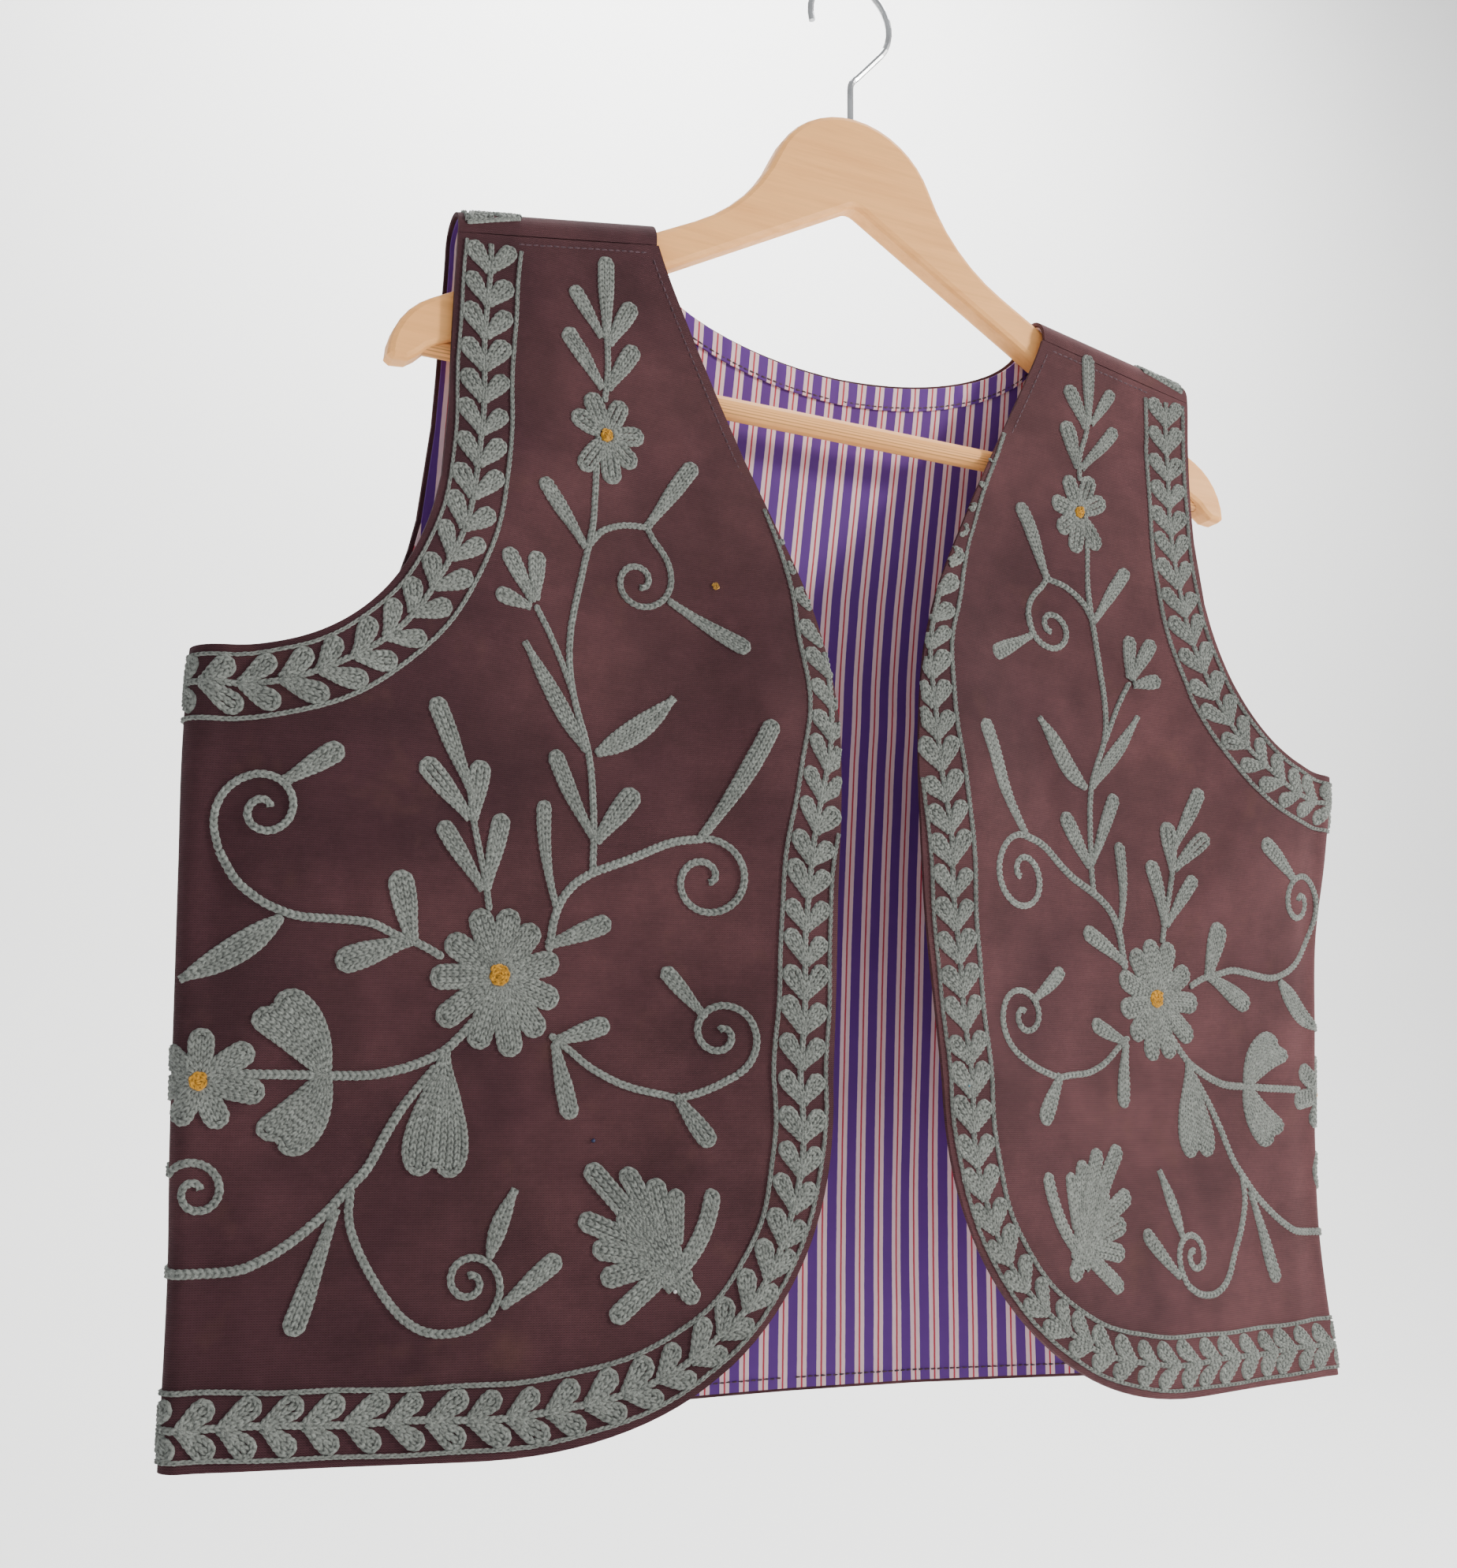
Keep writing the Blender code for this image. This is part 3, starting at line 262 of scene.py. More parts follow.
def crest(out):
    """Height of the shoulder's crest."""
    (x1, z1), (x2, z2) = CREST_NECK, CREST_ARM
    return z1 + (z2 - z1) * (out - x1) / (x2 - x1)


def shoulder_base(out):
    """Where the shoulder's roll starts, in front and behind."""
    return crest(out) - CREST_RADIUS


def panel_depth(rows, columns, face, out, height):
    """Depth of a panel, blended into the shoulder's roll; face is -1 in front and 1 behind."""
    distance = flat_reach(height) - out
    across = [spline((0.0,) + columns,
                     (float(table(FOLD, level, 2)) + face * float(table(FOLD, level, 3)),)
                     + values, distance, flat_start=True) for level, values in rows]
    depth = spline([row[0] for row in rows], np.array(across), height)
    rest = face * CREST_RADIUS
    return rest + (depth - rest) * smooth_step((shoulder_base(out) - height) / SHOULDER_EASE)


def skin(wrap, height):
    """Points of the cloth's outer face, on the side of +X, as rows of x, y and z."""
    reach, start, radius = flat_reach(height), quarter(height), table(FOLD, height, 3)
    turn = np.clip(wrap / radius, -math.pi / 2.0, math.pi / 2.0)
    out = np.where(wrap > start, reach + start - wrap,
                   np.where(wrap < -start, reach + start + wrap, reach + radius * np.cos(turn)))
    base = shoulder_base(out)
    climb = np.where(wrap < -start, np.maximum(height - base, 0.0), 0.0) / CREST_RADIUS
    over = np.clip(climb, 0.0, math.pi)
    past = np.maximum(climb - math.pi, 0.0) * CREST_RADIUS
    level = np.where(climb > math.pi, base - past,
                     np.where(climb > 0.0, base + CREST_RADIUS * np.sin(over), height))
    front = panel_depth(FRONT_DEPTH, FRONT_COLUMNS, -1, out, level)
    back = panel_depth(BACK_DEPTH, BACK_COLUMNS, 1, out, np.minimum(height, base))
    depth = np.where(wrap > start, front,
                     np.where(wrap < -start, back, table(FOLD, height, 2) - radius * np.sin(turn)))
    depth = np.where(climb > math.pi, front,
                     np.where(climb > 0.0, CREST_RADIUS * np.cos(over), depth))
    return np.stack([out, depth, level], axis=-1)


def relief(wrap, height, side):
    """Soft creases: how far the cloth stands off its smooth form, in millimetres."""
    lift = np.zeros_like(wrap)
    for which, at_wrap, at_height, length, width, turn, depth in CREASES:
        angle = math.radians(turn)
        right, up = wrap - at_wrap, height - at_height
        along = right * math.cos(angle) + up * math.sin(angle)
        across = up * math.cos(angle) - right * math.sin(angle) + along ** 2 * CREASE_BOW
        shape = depth * np.exp(-(along / (0.5 * length)) ** 2 - (across / (0.5 * width)) ** 2)
        lift += shape * (1.0 if which == 0 else ONE_SIDE_CREASE * (side == which))
    calm = smooth_step((TOP_LEVEL - height) / CALM_BELOW_TOP) * smooth_step(
        np.abs(wrap) / CALM_BESIDE_FOLD)
    return lift * calm


def lifted(wrap, height, lift, side):
    """Points in metres that stand a lift off the creased skin, with what is outwards there."""
    wrap, height = np.asarray(wrap, float), np.asarray(height, float)
    side = side + np.zeros_like(wrap)

    def creased(w, h):
        spot = skin(w, h)
        spot[:, 1] -= np.where(w > 0.0, 1.0, -1.0) * relief(w, h, side)
        return spot

    along = creased(wrap + NORMAL_STEP, height) - creased(wrap - NORMAL_STEP, height)
    up = creased(wrap, height + NORMAL_STEP) - creased(wrap, height - NORMAL_STEP)
    outward = np.cross(up, along)
    outward /= np.maximum(np.linalg.norm(outward, axis=1), 1e-9)[:, None]
    spot = creased(wrap, height) + outward * np.reshape(lift + np.zeros_like(wrap), (-1, 1))
    flip = np.stack([side, np.ones_like(side), np.ones_like(side)], axis=-1)
    return (spot * flip - (0.0, 0.0, HOOK_RISE)) * MM, outward * flip


def free_edge(height):
    """How far out the front's free edge lies, with its rounded lower corner."""
    drop = np.clip((CORNER_TOP - height) / (CORNER_TOP - HEM), 0.0, 1.0)
    corner = mix(CORNER_END, FREE_EDGE[0][1], rounded(drop, CORNER_ROUNDNESS))
    return np.where(height > CORNER_TOP, table(FREE_EDGE, height), corner)


def plumb_wrap(face):
    """Where the armhole's upper, plumb stretch lies; face is 1 in front and -1 behind."""
    return face * float(wrap_at(CREST_ARM[0], ARM_STRAIGHT))


def arm_bottom(face):
    """Where the armhole's curve meets its level bottom."""
    return LEVEL_END if face > 0 else SIDE_SEAM


def arm_edge(height, face):
    """Where the armhole's edge lies at a height."""
    drop = (ARM_STRAIGHT - height) / (ARM_STRAIGHT - ARMPIT)
    return mix(arm_bottom(face), plumb_wrap(face), rounded(drop, ARM_ROUNDNESS))


def arm_height(wrap, face):
    """How low the armhole's curve reaches at a distance round."""
    share = (wrap - arm_bottom(face)) / (plumb_wrap(face) - arm_bottom(face))
    return ARM_STRAIGHT - (ARM_STRAIGHT - ARMPIT) * rounded(share, ARM_ROUNDNESS)


def beside_neck(turn, away):
    """How far out and how high a line lies that runs at a distance from the neck's edge."""
    lean = np.radians(turn)
    return ((NECK_HALF + away) * np.sin(lean),
            NECK_BOTTOM + NECK_RISE * (1.0 - np.cos(lean)) - away * np.cos(lean))


# Materials --------------------------------------------------------------------------------------
class Term:
    """A shader socket that can be reckoned with."""

    def __init__(self, finish, socket):
        self.finish, self.socket = finish, socket

    def _sum(self, operation, first, second=0.5):
        return self.finish.node("ShaderNodeMath", {"operation": operation},
                                {0: first, 1: second})[0]

    def __add__(self, other):
        return self._sum("ADD", self, other)

    __radd__ = __add__

    def __sub__(self, other):
        return self._sum("SUBTRACT", self, other)

    def __rsub__(self, other):
        return self._sum("SUBTRACT", other, self)

    def __mul__(self, other):
        return self._sum("MULTIPLY", self, other)

    __rmul__ = __mul__

    def __truediv__(self, other):
        return self._sum("DIVIDE", self, other)

    def maths(self, operation, other=0.5):
        """Another of the Math node's operations."""
        return self._sum(operation, self, other)

    def wave(self, pitch):
        """A sine that repeats at a pitch."""
        return (self * (2.0 * math.pi / pitch)).maths("SINE")


def socket_name(key):
    """A Principled socket's name from its key."""
    return key.replace("_", " ").title().replace("Ior", "IOR")


class Finish:
    """A material made of nodes, on a Principled shader."""

    def __init__(self, name, **constants):
        self.material = bpy.data.materials.new(name)
        self.material.use_nodes = True
        self.tree = self.material.node_tree
        self.shader = self.tree.nodes["Principled BSDF"]
        self.use(**constants)
        self.spot = self.node("ShaderNodeTexCoord")[3]

    def node(self, kind, settings=None, sockets=None):
        """A node's outputs, after its settings are made and its sockets fed."""
        made = self.tree.nodes.new(kind)
        for key, value in (settings or {}).items():
            setattr(made, key, value)
        for key, value in (sockets or {}).items():
            self.feed(made.inputs[key], value)
        return [Term(self, socket) for socket in made.outputs]

    def feed(self, socket, value):
        """Link a term to a socket, or set the socket to a value."""
        if isinstance(value, Term):
            self.tree.links.new(value.socket, socket)
        elif socket.type == "RGBA":
            socket.default_value = (*value, 1.0)
        else:
            socket.default_value = value

    def ramp(self, factor, stops):
        """A colour, or a share of white, for each position of a factor."""
        made = self.tree.nodes.new("ShaderNodeValToRGB")
        elements = made.color_ramp.elements
        while len(elements) < len(stops):
            elements.new(0.5)
        for element, (position, colour) in zip(elements, stops):
            element.position = position
            element.color = (*colour, 1.0) if hasattr(colour, "__len__") else (colour,) * 3 + (1.0,)
        self.feed(made.inputs[0], factor)
        return Term(self, made.outputs[0])

    def blend(self, factor, first, second, mode="MIX"):
        """Two colours mixed."""
        settings = {"data_type": "RGBA", "blend_type": mode, "clamp_factor": True}
        return self.node("ShaderNodeMix", settings, {0: factor, 6: first, 7: second})[2]

    def shaded(self, colour, factor, stops):
        """A colour multiplied by the shares of a ramp."""
        return self.blend(1.0, colour, self.ramp(factor, stops), "MULTIPLY")

    def noise(self, scale, detail=2.0, roughness=0.5, stretch=None):
        """Noise between 0 and 1 on the piece's own coordinates."""
        spot = self.spot
        if stretch:
            spot = self.node("ShaderNodeMapping", {}, {0: spot, 3: stretch})[0]
        return self.node("ShaderNodeTexNoise", {},
                         {0: spot, "Scale": scale, "Detail": detail, "Roughness": roughness})[0]

    def parts(self, spot=None):
        """The separate coordinates of a place, or of the cloth's own map."""
        spot = spot or self.node("ShaderNodeUVMap")[0]
        return self.node("ShaderNodeSeparateXYZ", {}, {0: spot})

    def attribute(self, name):
        """A number that each point of the mesh has."""
        return self.node("ShaderNodeAttribute", {"attribute_name": name})[2]

    def bump(self, height, strength, distance, normal=None):
        """The normal of a raised finish, on top of another one where that is given."""
        sockets = {"Height": height, "Strength": strength, "Distance": distance}
        if normal is not None:
            sockets["Normal"] = normal
        return self.node("ShaderNodeBump", {}, sockets)[0]

    def use(self, **sockets):
        """Feed the shader's sockets, and return the material."""
        for name, value in sockets.items():
            self.feed(self.shader.inputs[socket_name(name)], value)
        return self.material


def canvas_finish():
    """Plum-brown plain weave with a patchy fade, painted lighter toward the lit side, with smudges
    and a few brown stains.
    """
    sizes = bpy.context.scene.waistcoat_cloth
    finish = Finish("plum canvas", roughness=0.92, specular_ior_level=0.25)
    across, along = (part * 1000.0 for part in finish.parts()[:2])
    wander = finish.noise(55.0) * 0.7
    weft = (along + wander).wave(0.86)
    weave = (across + wander).wave(1.02) * weft * 0.5 + weft * 0.35 + 0.5
    slub = finish.noise(60.0, 3.0, 0.6, (1.0, 1.0, 9.0))
    blotch = finish.noise(11.0, 4.0, 0.62)
    # Painted light: the canvas is painted lighter toward +X, the side that the light falls on.
    painted_light_across = finish.parts(finish.spot)[0]
    fade_and_side_light = finish.ramp(blotch * 0.65 + finish.noise(3.4) * 0.45 + painted_light_across * 0.70,
                        ((0.40, 0.0), (0.80, 1.0)))
    colour = finish.blend(fade_and_side_light, sizes.canvas, sizes.fade_and_side_light)
    speck = finish.noise(620.0, 2.0, 0.6)
    colour = finish.shaded(colour, weave * 0.55 + speck * 0.45 + slub * 0.3,
                           ((0.25, 0.62), (0.95, 1.22)))
    colour = finish.shaded(colour, finish.noise(30.0, 4.0, 0.6), ((0.36, 0.80), (0.62, 1.08)))
    stain = finish.ramp(finish.noise(24.0, 3.0, 0.7), ((0.60, 0.0), (0.78, 0.35)))
    colour = finish.blend(stain, colour, (0.115, 0.052, 0.038))
    fine = finish.bump(weave + slub * 0.6, 0.55, 0.00022)
    return finish.use(base_color=colour, normal=finish.bump(blotch, 0.35, 0.0022, fine),
                      roughness=0.98 - weave * 0.12)


def stripe_finish(shift=0.0):
    """Purple cotton with off-white bands either side of a thin red line."""
    repeat = bpy.context.scene.waistcoat_cloth.stripe * 1000.0
    finish = Finish("striped cotton %.1f" % shift, roughness=0.8, sheen_weight=0.1)
    across, along = (part * 1000.0 for part in finish.parts()[:2])
    wander = finish.noise(30.0) * 0.5 + finish.noise(400.0, 1.0) * 0.18
    place = ((across + wander + shift) / repeat).maths("FRACT")
    purple, pale, red = (0.090, 0.017, 0.205), (0.76, 0.55, 0.57), (0.46, 0.025, 0.055)
    stops = ((0.0, purple), (0.49, purple), (0.505, pale), (0.695, pale), (0.71, red),
             (0.785, red), (0.80, pale), (0.985, pale), (1.0, purple))
    threads = across.wave(0.5) * along.wave(0.5) * 0.5 + 0.5
    cloud = finish.noise(18.0, 3.0, 0.6)
    colour = finish.shaded(finish.ramp(place, stops), threads * 0.3 + cloud * 0.7,
                           ((0.2, 0.80), (0.85, 1.12)))
    normal = finish.bump(cloud, 0.5, 0.0016, finish.bump(threads, 0.25, 0.0001))
    return finish.use(base_color=colour, normal=normal)


def wool_finish():
    """Heathered wool with painted shade in the stitches' grooves; the map's first coordinate
    crosses a stitch and its second counts them.
    """
    sizes = bpy.context.scene.waistcoat_wool
    finish = Finish("embroidery wool", roughness=1.0, specular_ior_level=0.2, sheen_weight=0.12)
    cross, count = finish.parts()[:2]
    hair = finish.noise(1900.0, 3.0, 0.7)
    heather = finish.noise(520.0, 2.0, 0.6)
    loop = ((count + heather * 0.30).maths("FRACT") * math.pi).maths("SINE")
    strand = (cross.maths("ABSOLUTE") * 2.6).maths("MINIMUM", 1.0)
    stitch = loop * 0.62 + strand * 0.38
    colour = finish.blend(finish.attribute("dye"), sizes.grey, sizes.ochre)
    colour = finish.shaded(colour, heather * 0.45 + hair * 0.55,
                           ((0.34, 0.50), (0.50, 1.00), (0.66, 1.50)))
    # Painted shade: the colour darkens in the grooves between loops and strands, where shade falls,
    # and lightens a little on their crowns.
    colour = finish.shaded(colour, stitch, ((0.15, 0.42), (0.55, 1.0), (1.0, 1.12)))
    colour = finish.shaded(colour, finish.attribute("tone") * 0.5 + finish.noise(30.0) * 0.5,
                           ((0.1, 0.80), (0.9, 1.18)))
    normal = finish.bump(stitch, 0.9, 0.0006, finish.bump(hair, 0.7, 0.0004))
    return finish.use(base_color=colour, normal=normal)


def wood_finish(name="pale wood", grooves=None):
    """Pale wood; grooves, where given, is the height of a turned bar with fine grooves below it,
    with painted shade in them.
    """
    light = tuple(bpy.context.scene.waistcoat_hanger.wood)
    dark = tuple(part * share for part, share in zip(light, (0.78, 0.68, 0.58)))
    finish = Finish(name, roughness=0.5, specular_ior_level=0.35)
    grain = finish.noise(26.0, 4.0, 0.62, (0.55, 9.0, 9.0))
    pores = finish.noise(130.0, 2.0, 0.5, (0.22, 6.0, 6.0))
    flame = finish.noise(9.0, 3.0, 0.5, (0.5, 2.0, 3.0))
    colour = finish.blend(finish.ramp(grain, ((0.42, 0.0), (0.70, 0.50))), light, dark)
    colour = finish.shaded(colour, pores * 0.6 + flame * 0.4, ((0.25, 0.92), (0.75, 1.04)))
    normal = finish.bump(pores + grain * 0.4, 0.16, 0.0003)
    if grooves is not None:
        rise = finish.parts(finish.spot)[2] * 1000.0 - grooves
        cut = (rise / GROOVE_PITCH).maths("FRACT").maths("LESS_THAN", 0.34)
        cut = cut * rise.maths("GREATER_THAN", GROOVES_END) * rise.maths("LESS_THAN", 0.2)
        # Painted shade: the grooves are painted darker, as shade falls in them.
        colour = finish.blend(cut * 0.55, colour, tuple(part * 0.4 for part in dark))
        normal = finish.bump(1.0 - cut, 0.6, 0.0004, normal)
    return finish.use(base_color=colour, normal=normal, roughness=0.44 + grain * 0.2)


def steel_finish():
    """Drawn wire with a light tarnish."""
    steel = tuple(bpy.context.scene.waistcoat_hanger.steel)
    finish = Finish("steel wire", metallic=1.0, roughness=0.25)
    tarnish = finish.noise(70.0, 3.0, 0.6)
    colour = finish.blend(finish.ramp(tarnish, ((0.45, 0.0), (0.75, 1.0))), steel,
                          tuple(part * 0.72 for part in steel))
    drawn = finish.noise(240.0, 2.0, 0.5, (1.0, 1.0, 0.1))
    return finish.use(base_color=colour, roughness=0.16 + tarnish * 0.2,
                      normal=finish.bump(drawn, 0.1, 0.0001))


def thread_finish():
    """Plum sewing thread."""
    finish = Finish("plum sewing thread", roughness=0.7)
    twist = finish.noise(900.0)
    colour = finish.ramp(twist, ((0.3, (0.035, 0.014, 0.022)), (0.7, (0.10, 0.045, 0.06))))
    return finish.use(base_color=colour, normal=finish.bump(twist, 0.4, 0.0002))


def finish_named(name, maker):
    """A finish that several pieces share: made when it is first asked for."""
    return bpy.data.materials.get(name) or maker()


# Making pieces ----------------------------------------------------------------------------------
def piece(name, mesh, finishes, nodes, slot):
    """An object at the origin that rides on the part."""
    made = bpy.data.objects.new(name, mesh)
    bpy.context.scene.collection.objects.link(made)
    for finish in finishes:
        mesh.materials.append(finish)
    mesh.shade_smooth()
    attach(made, "root")
    if nodes:
        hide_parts(*nodes)
    return made


def mesh_from(name, shape):
    """A mesh made from a bmesh, which is freed."""
    mesh = bpy.data.meshes.new(name)
    shape.to_mesh(mesh)
    shape.free()
    return mesh


def grid_places(mesh, columns, rows):
    """The column and row of each point of a fresh grid."""
    spots = np.empty(len(mesh.vertices) * 3)
    mesh.vertices.foreach_get("co", spots)
    spots = spots.reshape(-1, 3) + 0.5
    return (np.rint(spots[:, 0] * columns).astype(int), np.rint(spots[:, 1] * rows).astype(int))


def set_chart(mesh, chart):
    """Give a mesh its own map from a chart value for each point; returns the loops' points."""
    loops = np.empty(len(mesh.loops), int)
    mesh.loops.foreach_get("vertex_index", loops)
    mesh.uv_layers.new(name="UVMap").uv.foreach_set("vector", chart[loops].ravel())
    return loops


def chart_of(spots, side):
    """The cloth's own coordinates in millimetres: out to the side from the middle, and height."""
    wrap, height = np.nan_to_num(spots[..., 0]), np.nan_to_num(spots[..., 1])
    middle = wrap_at(0.0, height.ravel()).reshape(wrap.shape)
    return pair((middle - np.abs(wrap)) * side, height)


def sheet_mesh(name, spots, lift, side):
    """A cloth sheet from a grid of (wrap, height) spots; a spot that isn't a number is left out.

    lift and side are numbers or have one for each spot.
    """
    rows, columns = spots.shape[0] - 1, spots.shape[1] - 1
    shape = bmesh.new()
    bmesh.ops.create_grid(shape, x_segments=columns, y_segments=rows, size=0.5)
    mesh = bpy.data.meshes.new(name)
    shape.to_mesh(mesh)
    column, row = grid_places(mesh, columns, rows)
    spot = spots[row, column]
    missing = np.isnan(spot[:, 0])
    spot = np.nan_to_num(spot)
    lifts, sides = (np.broadcast_to(value, spots.shape[:2])[row, column] for value in (lift, side))
    placed, outward = lifted(spot[:, 0], spot[:, 1], lifts, sides)
    mesh.vertices.foreach_set("co", placed.ravel())
    set_chart(mesh, chart_of(spots, side)[row, column] * MM)
    shape.clear()
    shape.from_mesh(mesh)
    shape.normal_update()
    shape.verts.ensure_lookup_table()
    sample = np.flatnonzero(~missing)[::37]
    if sum(shape.verts[int(k)].normal.dot(outward[k]) for k in sample) < 0.0:
        bmesh.ops.reverse_faces(shape, faces=shape.faces)
    bmesh.ops.delete(shape, geom=[shape.verts[int(k)] for k in np.flatnonzero(missing)],
                     context="VERTS")
    bmesh.ops.remove_doubles(shape, verts=shape.verts, dist=MERGE_DISTANCE * MM)
    shape.to_mesh(mesh)
    shape.free()
    return mesh


def modify(made, name, kind, **settings):
    """Add a modifier with its settings."""
    added = made.modifiers.new(name, kind)
    for key, value in settings.items():
        setattr(added, key, value)


def cloth(name, node, spots, side, lift, wall, rim, finishes, slot, flat, rests_on):
    """A hanging sheet: its shell, a wall that grows inwards, and rounded edges.

    A second finish, where there is one, lines the inner face.
    """
    made = piece(name, sheet_mesh(name, spots, lift, side), finishes, [node], slot)
    modify(made, "wall", "SOLIDIFY", thickness=wall * MM, offset=-1.0,
           material_offset=len(finishes) - 1, material_offset_rim=0)
    modify(made, "turned edge", "BEVEL", width=rim, segments=2, limit_method="ANGLE",
           angle_limit=math.radians(55.0), harden_normals=True)


def front_spots():
    """Spots of a front panel, from the hem up to the shoulder seam and round the side fold."""
    grain = bpy.context.scene.waistcoat_cloth.grain
    turns = np.linspace(0.0, 90.0, 34)
    corner = CORNER_TOP - (CORNER_TOP - HEM) * np.sin(np.radians(turns)) ** (2.0 / CORNER_ROUNDNESS)
    middle = np.arange(CORNER_TOP + grain, ARMPIT - grain * 0.5, grain)
    first = float(arm_height(WIDE_WRAP, 1))
    curve = arm_height(np.linspace(WIDE_WRAP, plumb_wrap(1), 26), 1)[1:]
    upper = np.arange(ARM_STRAIGHT + grain, TOP_LEVEL, grain)
    heights = np.concatenate([corner[::-1], middle, [ARMPIT, first], curve, upper, [TOP_LEVEL]])
    rise = list(heights).index(first)
    fold_count, panel_count, top_count = 34, int(220.0 / grain), 10
    neck = float(free_edge(shoulder_base(NECK_HALF)))
    spots = np.full((len(heights) + top_count, fold_count + panel_count + 1, 2), np.nan)
    fold_wraps = np.linspace(SIDE_SEAM, WIDE_WRAP, fold_count + 1)[:-1]
    share = np.linspace(0.0, 1.0, panel_count + 1)
    for row, height in enumerate(heights):
        start = max(WIDE_WRAP, float(arm_edge(height, 1))) if height > ARMPIT else WIDE_WRAP
        end = float(wrap_at(free_edge(height), height))
        spots[row, fold_count:] = pair(mix(start, end, share), height)
        if row <= rise:
            level = height if row < rise else arm_height(np.maximum(fold_wraps, LEVEL_END), 1)
            spots[row, :fold_count] = pair(fold_wraps, level)
    seam = shoulder_base(mix(CREST_ARM[0], neck, share)) - SEAM_BELOW_BASE - SEAM_GAP
    for step in range(1, top_count + 1):
        height = mix(TOP_LEVEL, seam, step / top_count)
        wrap = mix(plumb_wrap(1), wrap_at(free_edge(height), height), share)
        spots[len(heights) + step - 1, fold_count:] = pair(wrap, height)
    return spots


def back_spots(inset):
    """Spots of the whole back, with the side each lies on."""
    grain = bpy.context.scene.waistcoat_cloth.grain
    seam = SIDE_SEAM - SEAM_GAP
    plumb = plumb_wrap(-1) - inset
    roll_start = NECK_BOTTOM + NECK_RISE - shoulder_base(NECK_HALF)
    roll_end = math.pi * CREST_RADIUS + SEAM_BELOW_BASE - SEAM_GAP - inset
    arm_base = float(shoulder_base(CREST_ARM[0]))
    seam_neck = float(free_edge(shoulder_base(NECK_HALF)))
    armpit = ARMPIT - inset
    neck_low = NECK_BOTTOM - 7.0
    rows = [(h, 0.0, h) for h in np.append(np.arange(HEM + inset, armpit - 2.0, grain), armpit)]
    curve = arm_height(np.linspace(SIDE_SEAM - 3.0, plumb_wrap(-1), 24), -1) - inset
    rows += [(h, 0.0, h) for h in curve]
    for share in np.linspace(0.0, 1.0, 17)[1:]:
        rows.append((mix(ARM_STRAIGHT - inset, neck_low, share), 0.0,
                     mix(ARM_STRAIGHT - inset, NECK_BOTTOM - inset, share)))
    for share in np.linspace(0.0, 1.0, 23)[1:]:
        rows.append((mix(neck_low, arm_base + roll_start, share ** 1.3),
                     *beside_neck(90.0 * share, inset)))
    for share in np.linspace(0.0, 1.0, 15)[1:]:
        climb = mix(roll_start, roll_end, share)
        out = mix(NECK_HALF, seam_neck, share) + inset
        rows.append((arm_base + climb, out, shoulder_base(out) + climb))
    side_count, panel_count = 18, int(200.0 / grain)
    half = side_count + panel_count
    share = np.linspace(0.0, 1.0, panel_count + 1)
    spots = np.empty((len(rows), half + 1, 2))
    outer = np.linspace(seam, plumb_wrap(-1), side_count + 1)[:-1]
    for row, (at_arm, out, at_neck) in enumerate(rows):
        height = mix(at_arm, at_neck, share)
        spots[row, side_count:] = pair(mix(plumb, -wrap_at(out, height), share), height)
        edge = min(seam, float(arm_edge(at_arm + inset, -1)) - inset) if at_arm > armpit else seam
        beside = plumb if at_arm >= ARM_STRAIGHT - inset else np.minimum(outer, edge)
        spots[row, :side_count] = pair(beside, at_arm)
    empty = np.full((len(rows), 1, 2), np.nan)
    whole = np.concatenate([spots, empty, spots[:, ::-1]], axis=1)
    side = np.ones(whole.shape[:2])
    side[:, half + 1:] = -1.0
    return whole, side


def side_name(side):
    return "right" if side > 0 else "left"


# Embroidery: rows of chain stitch ----------------------------------------------------------------
# Along a stitch, from its start to its closing loop: half width, how far out the two strands lie,
# and the heights of the strands and of the valley between them. The strands point ahead as a V.
STITCH_AT = np.array([0.0, 0.36, 0.76])
STITCH_WIDTH = np.array([0.90, 1.00, 0.97])
STRAND_OUT = np.array([0.46, 0.60, 0.56])
STRAND_HIGH = np.array([0.72, 1.00, 0.96])
VALLEY_HIGH = np.array([0.84, 0.62, 0.78])
STRAND_AHEAD = 0.50
OVERLAP = 1.48
SHORTEST_ROW, SUNK = 1.2, 0.25
# Widths of single rows, and ranges within which a border's leaves are drawn by chance.
INNER_ROW, OUTER_ROW, STEM_ROW, CLOSING_ROW, FOLD_ROW, LOOSE_ROW = 2.1, 1.8, 2.8, 2.2, 3.2, 1.7
CENTRE_ROW, KNOT_ROW, CENTRE_LIFT, KNOT_LIFT = 2.6, 2.4, 0.6, 0.8
LEAF_RUN, LEAF_REACH, LEAF_HALF = (0.80, 1.04), (0.88, 1.0), (3.9, 4.8)


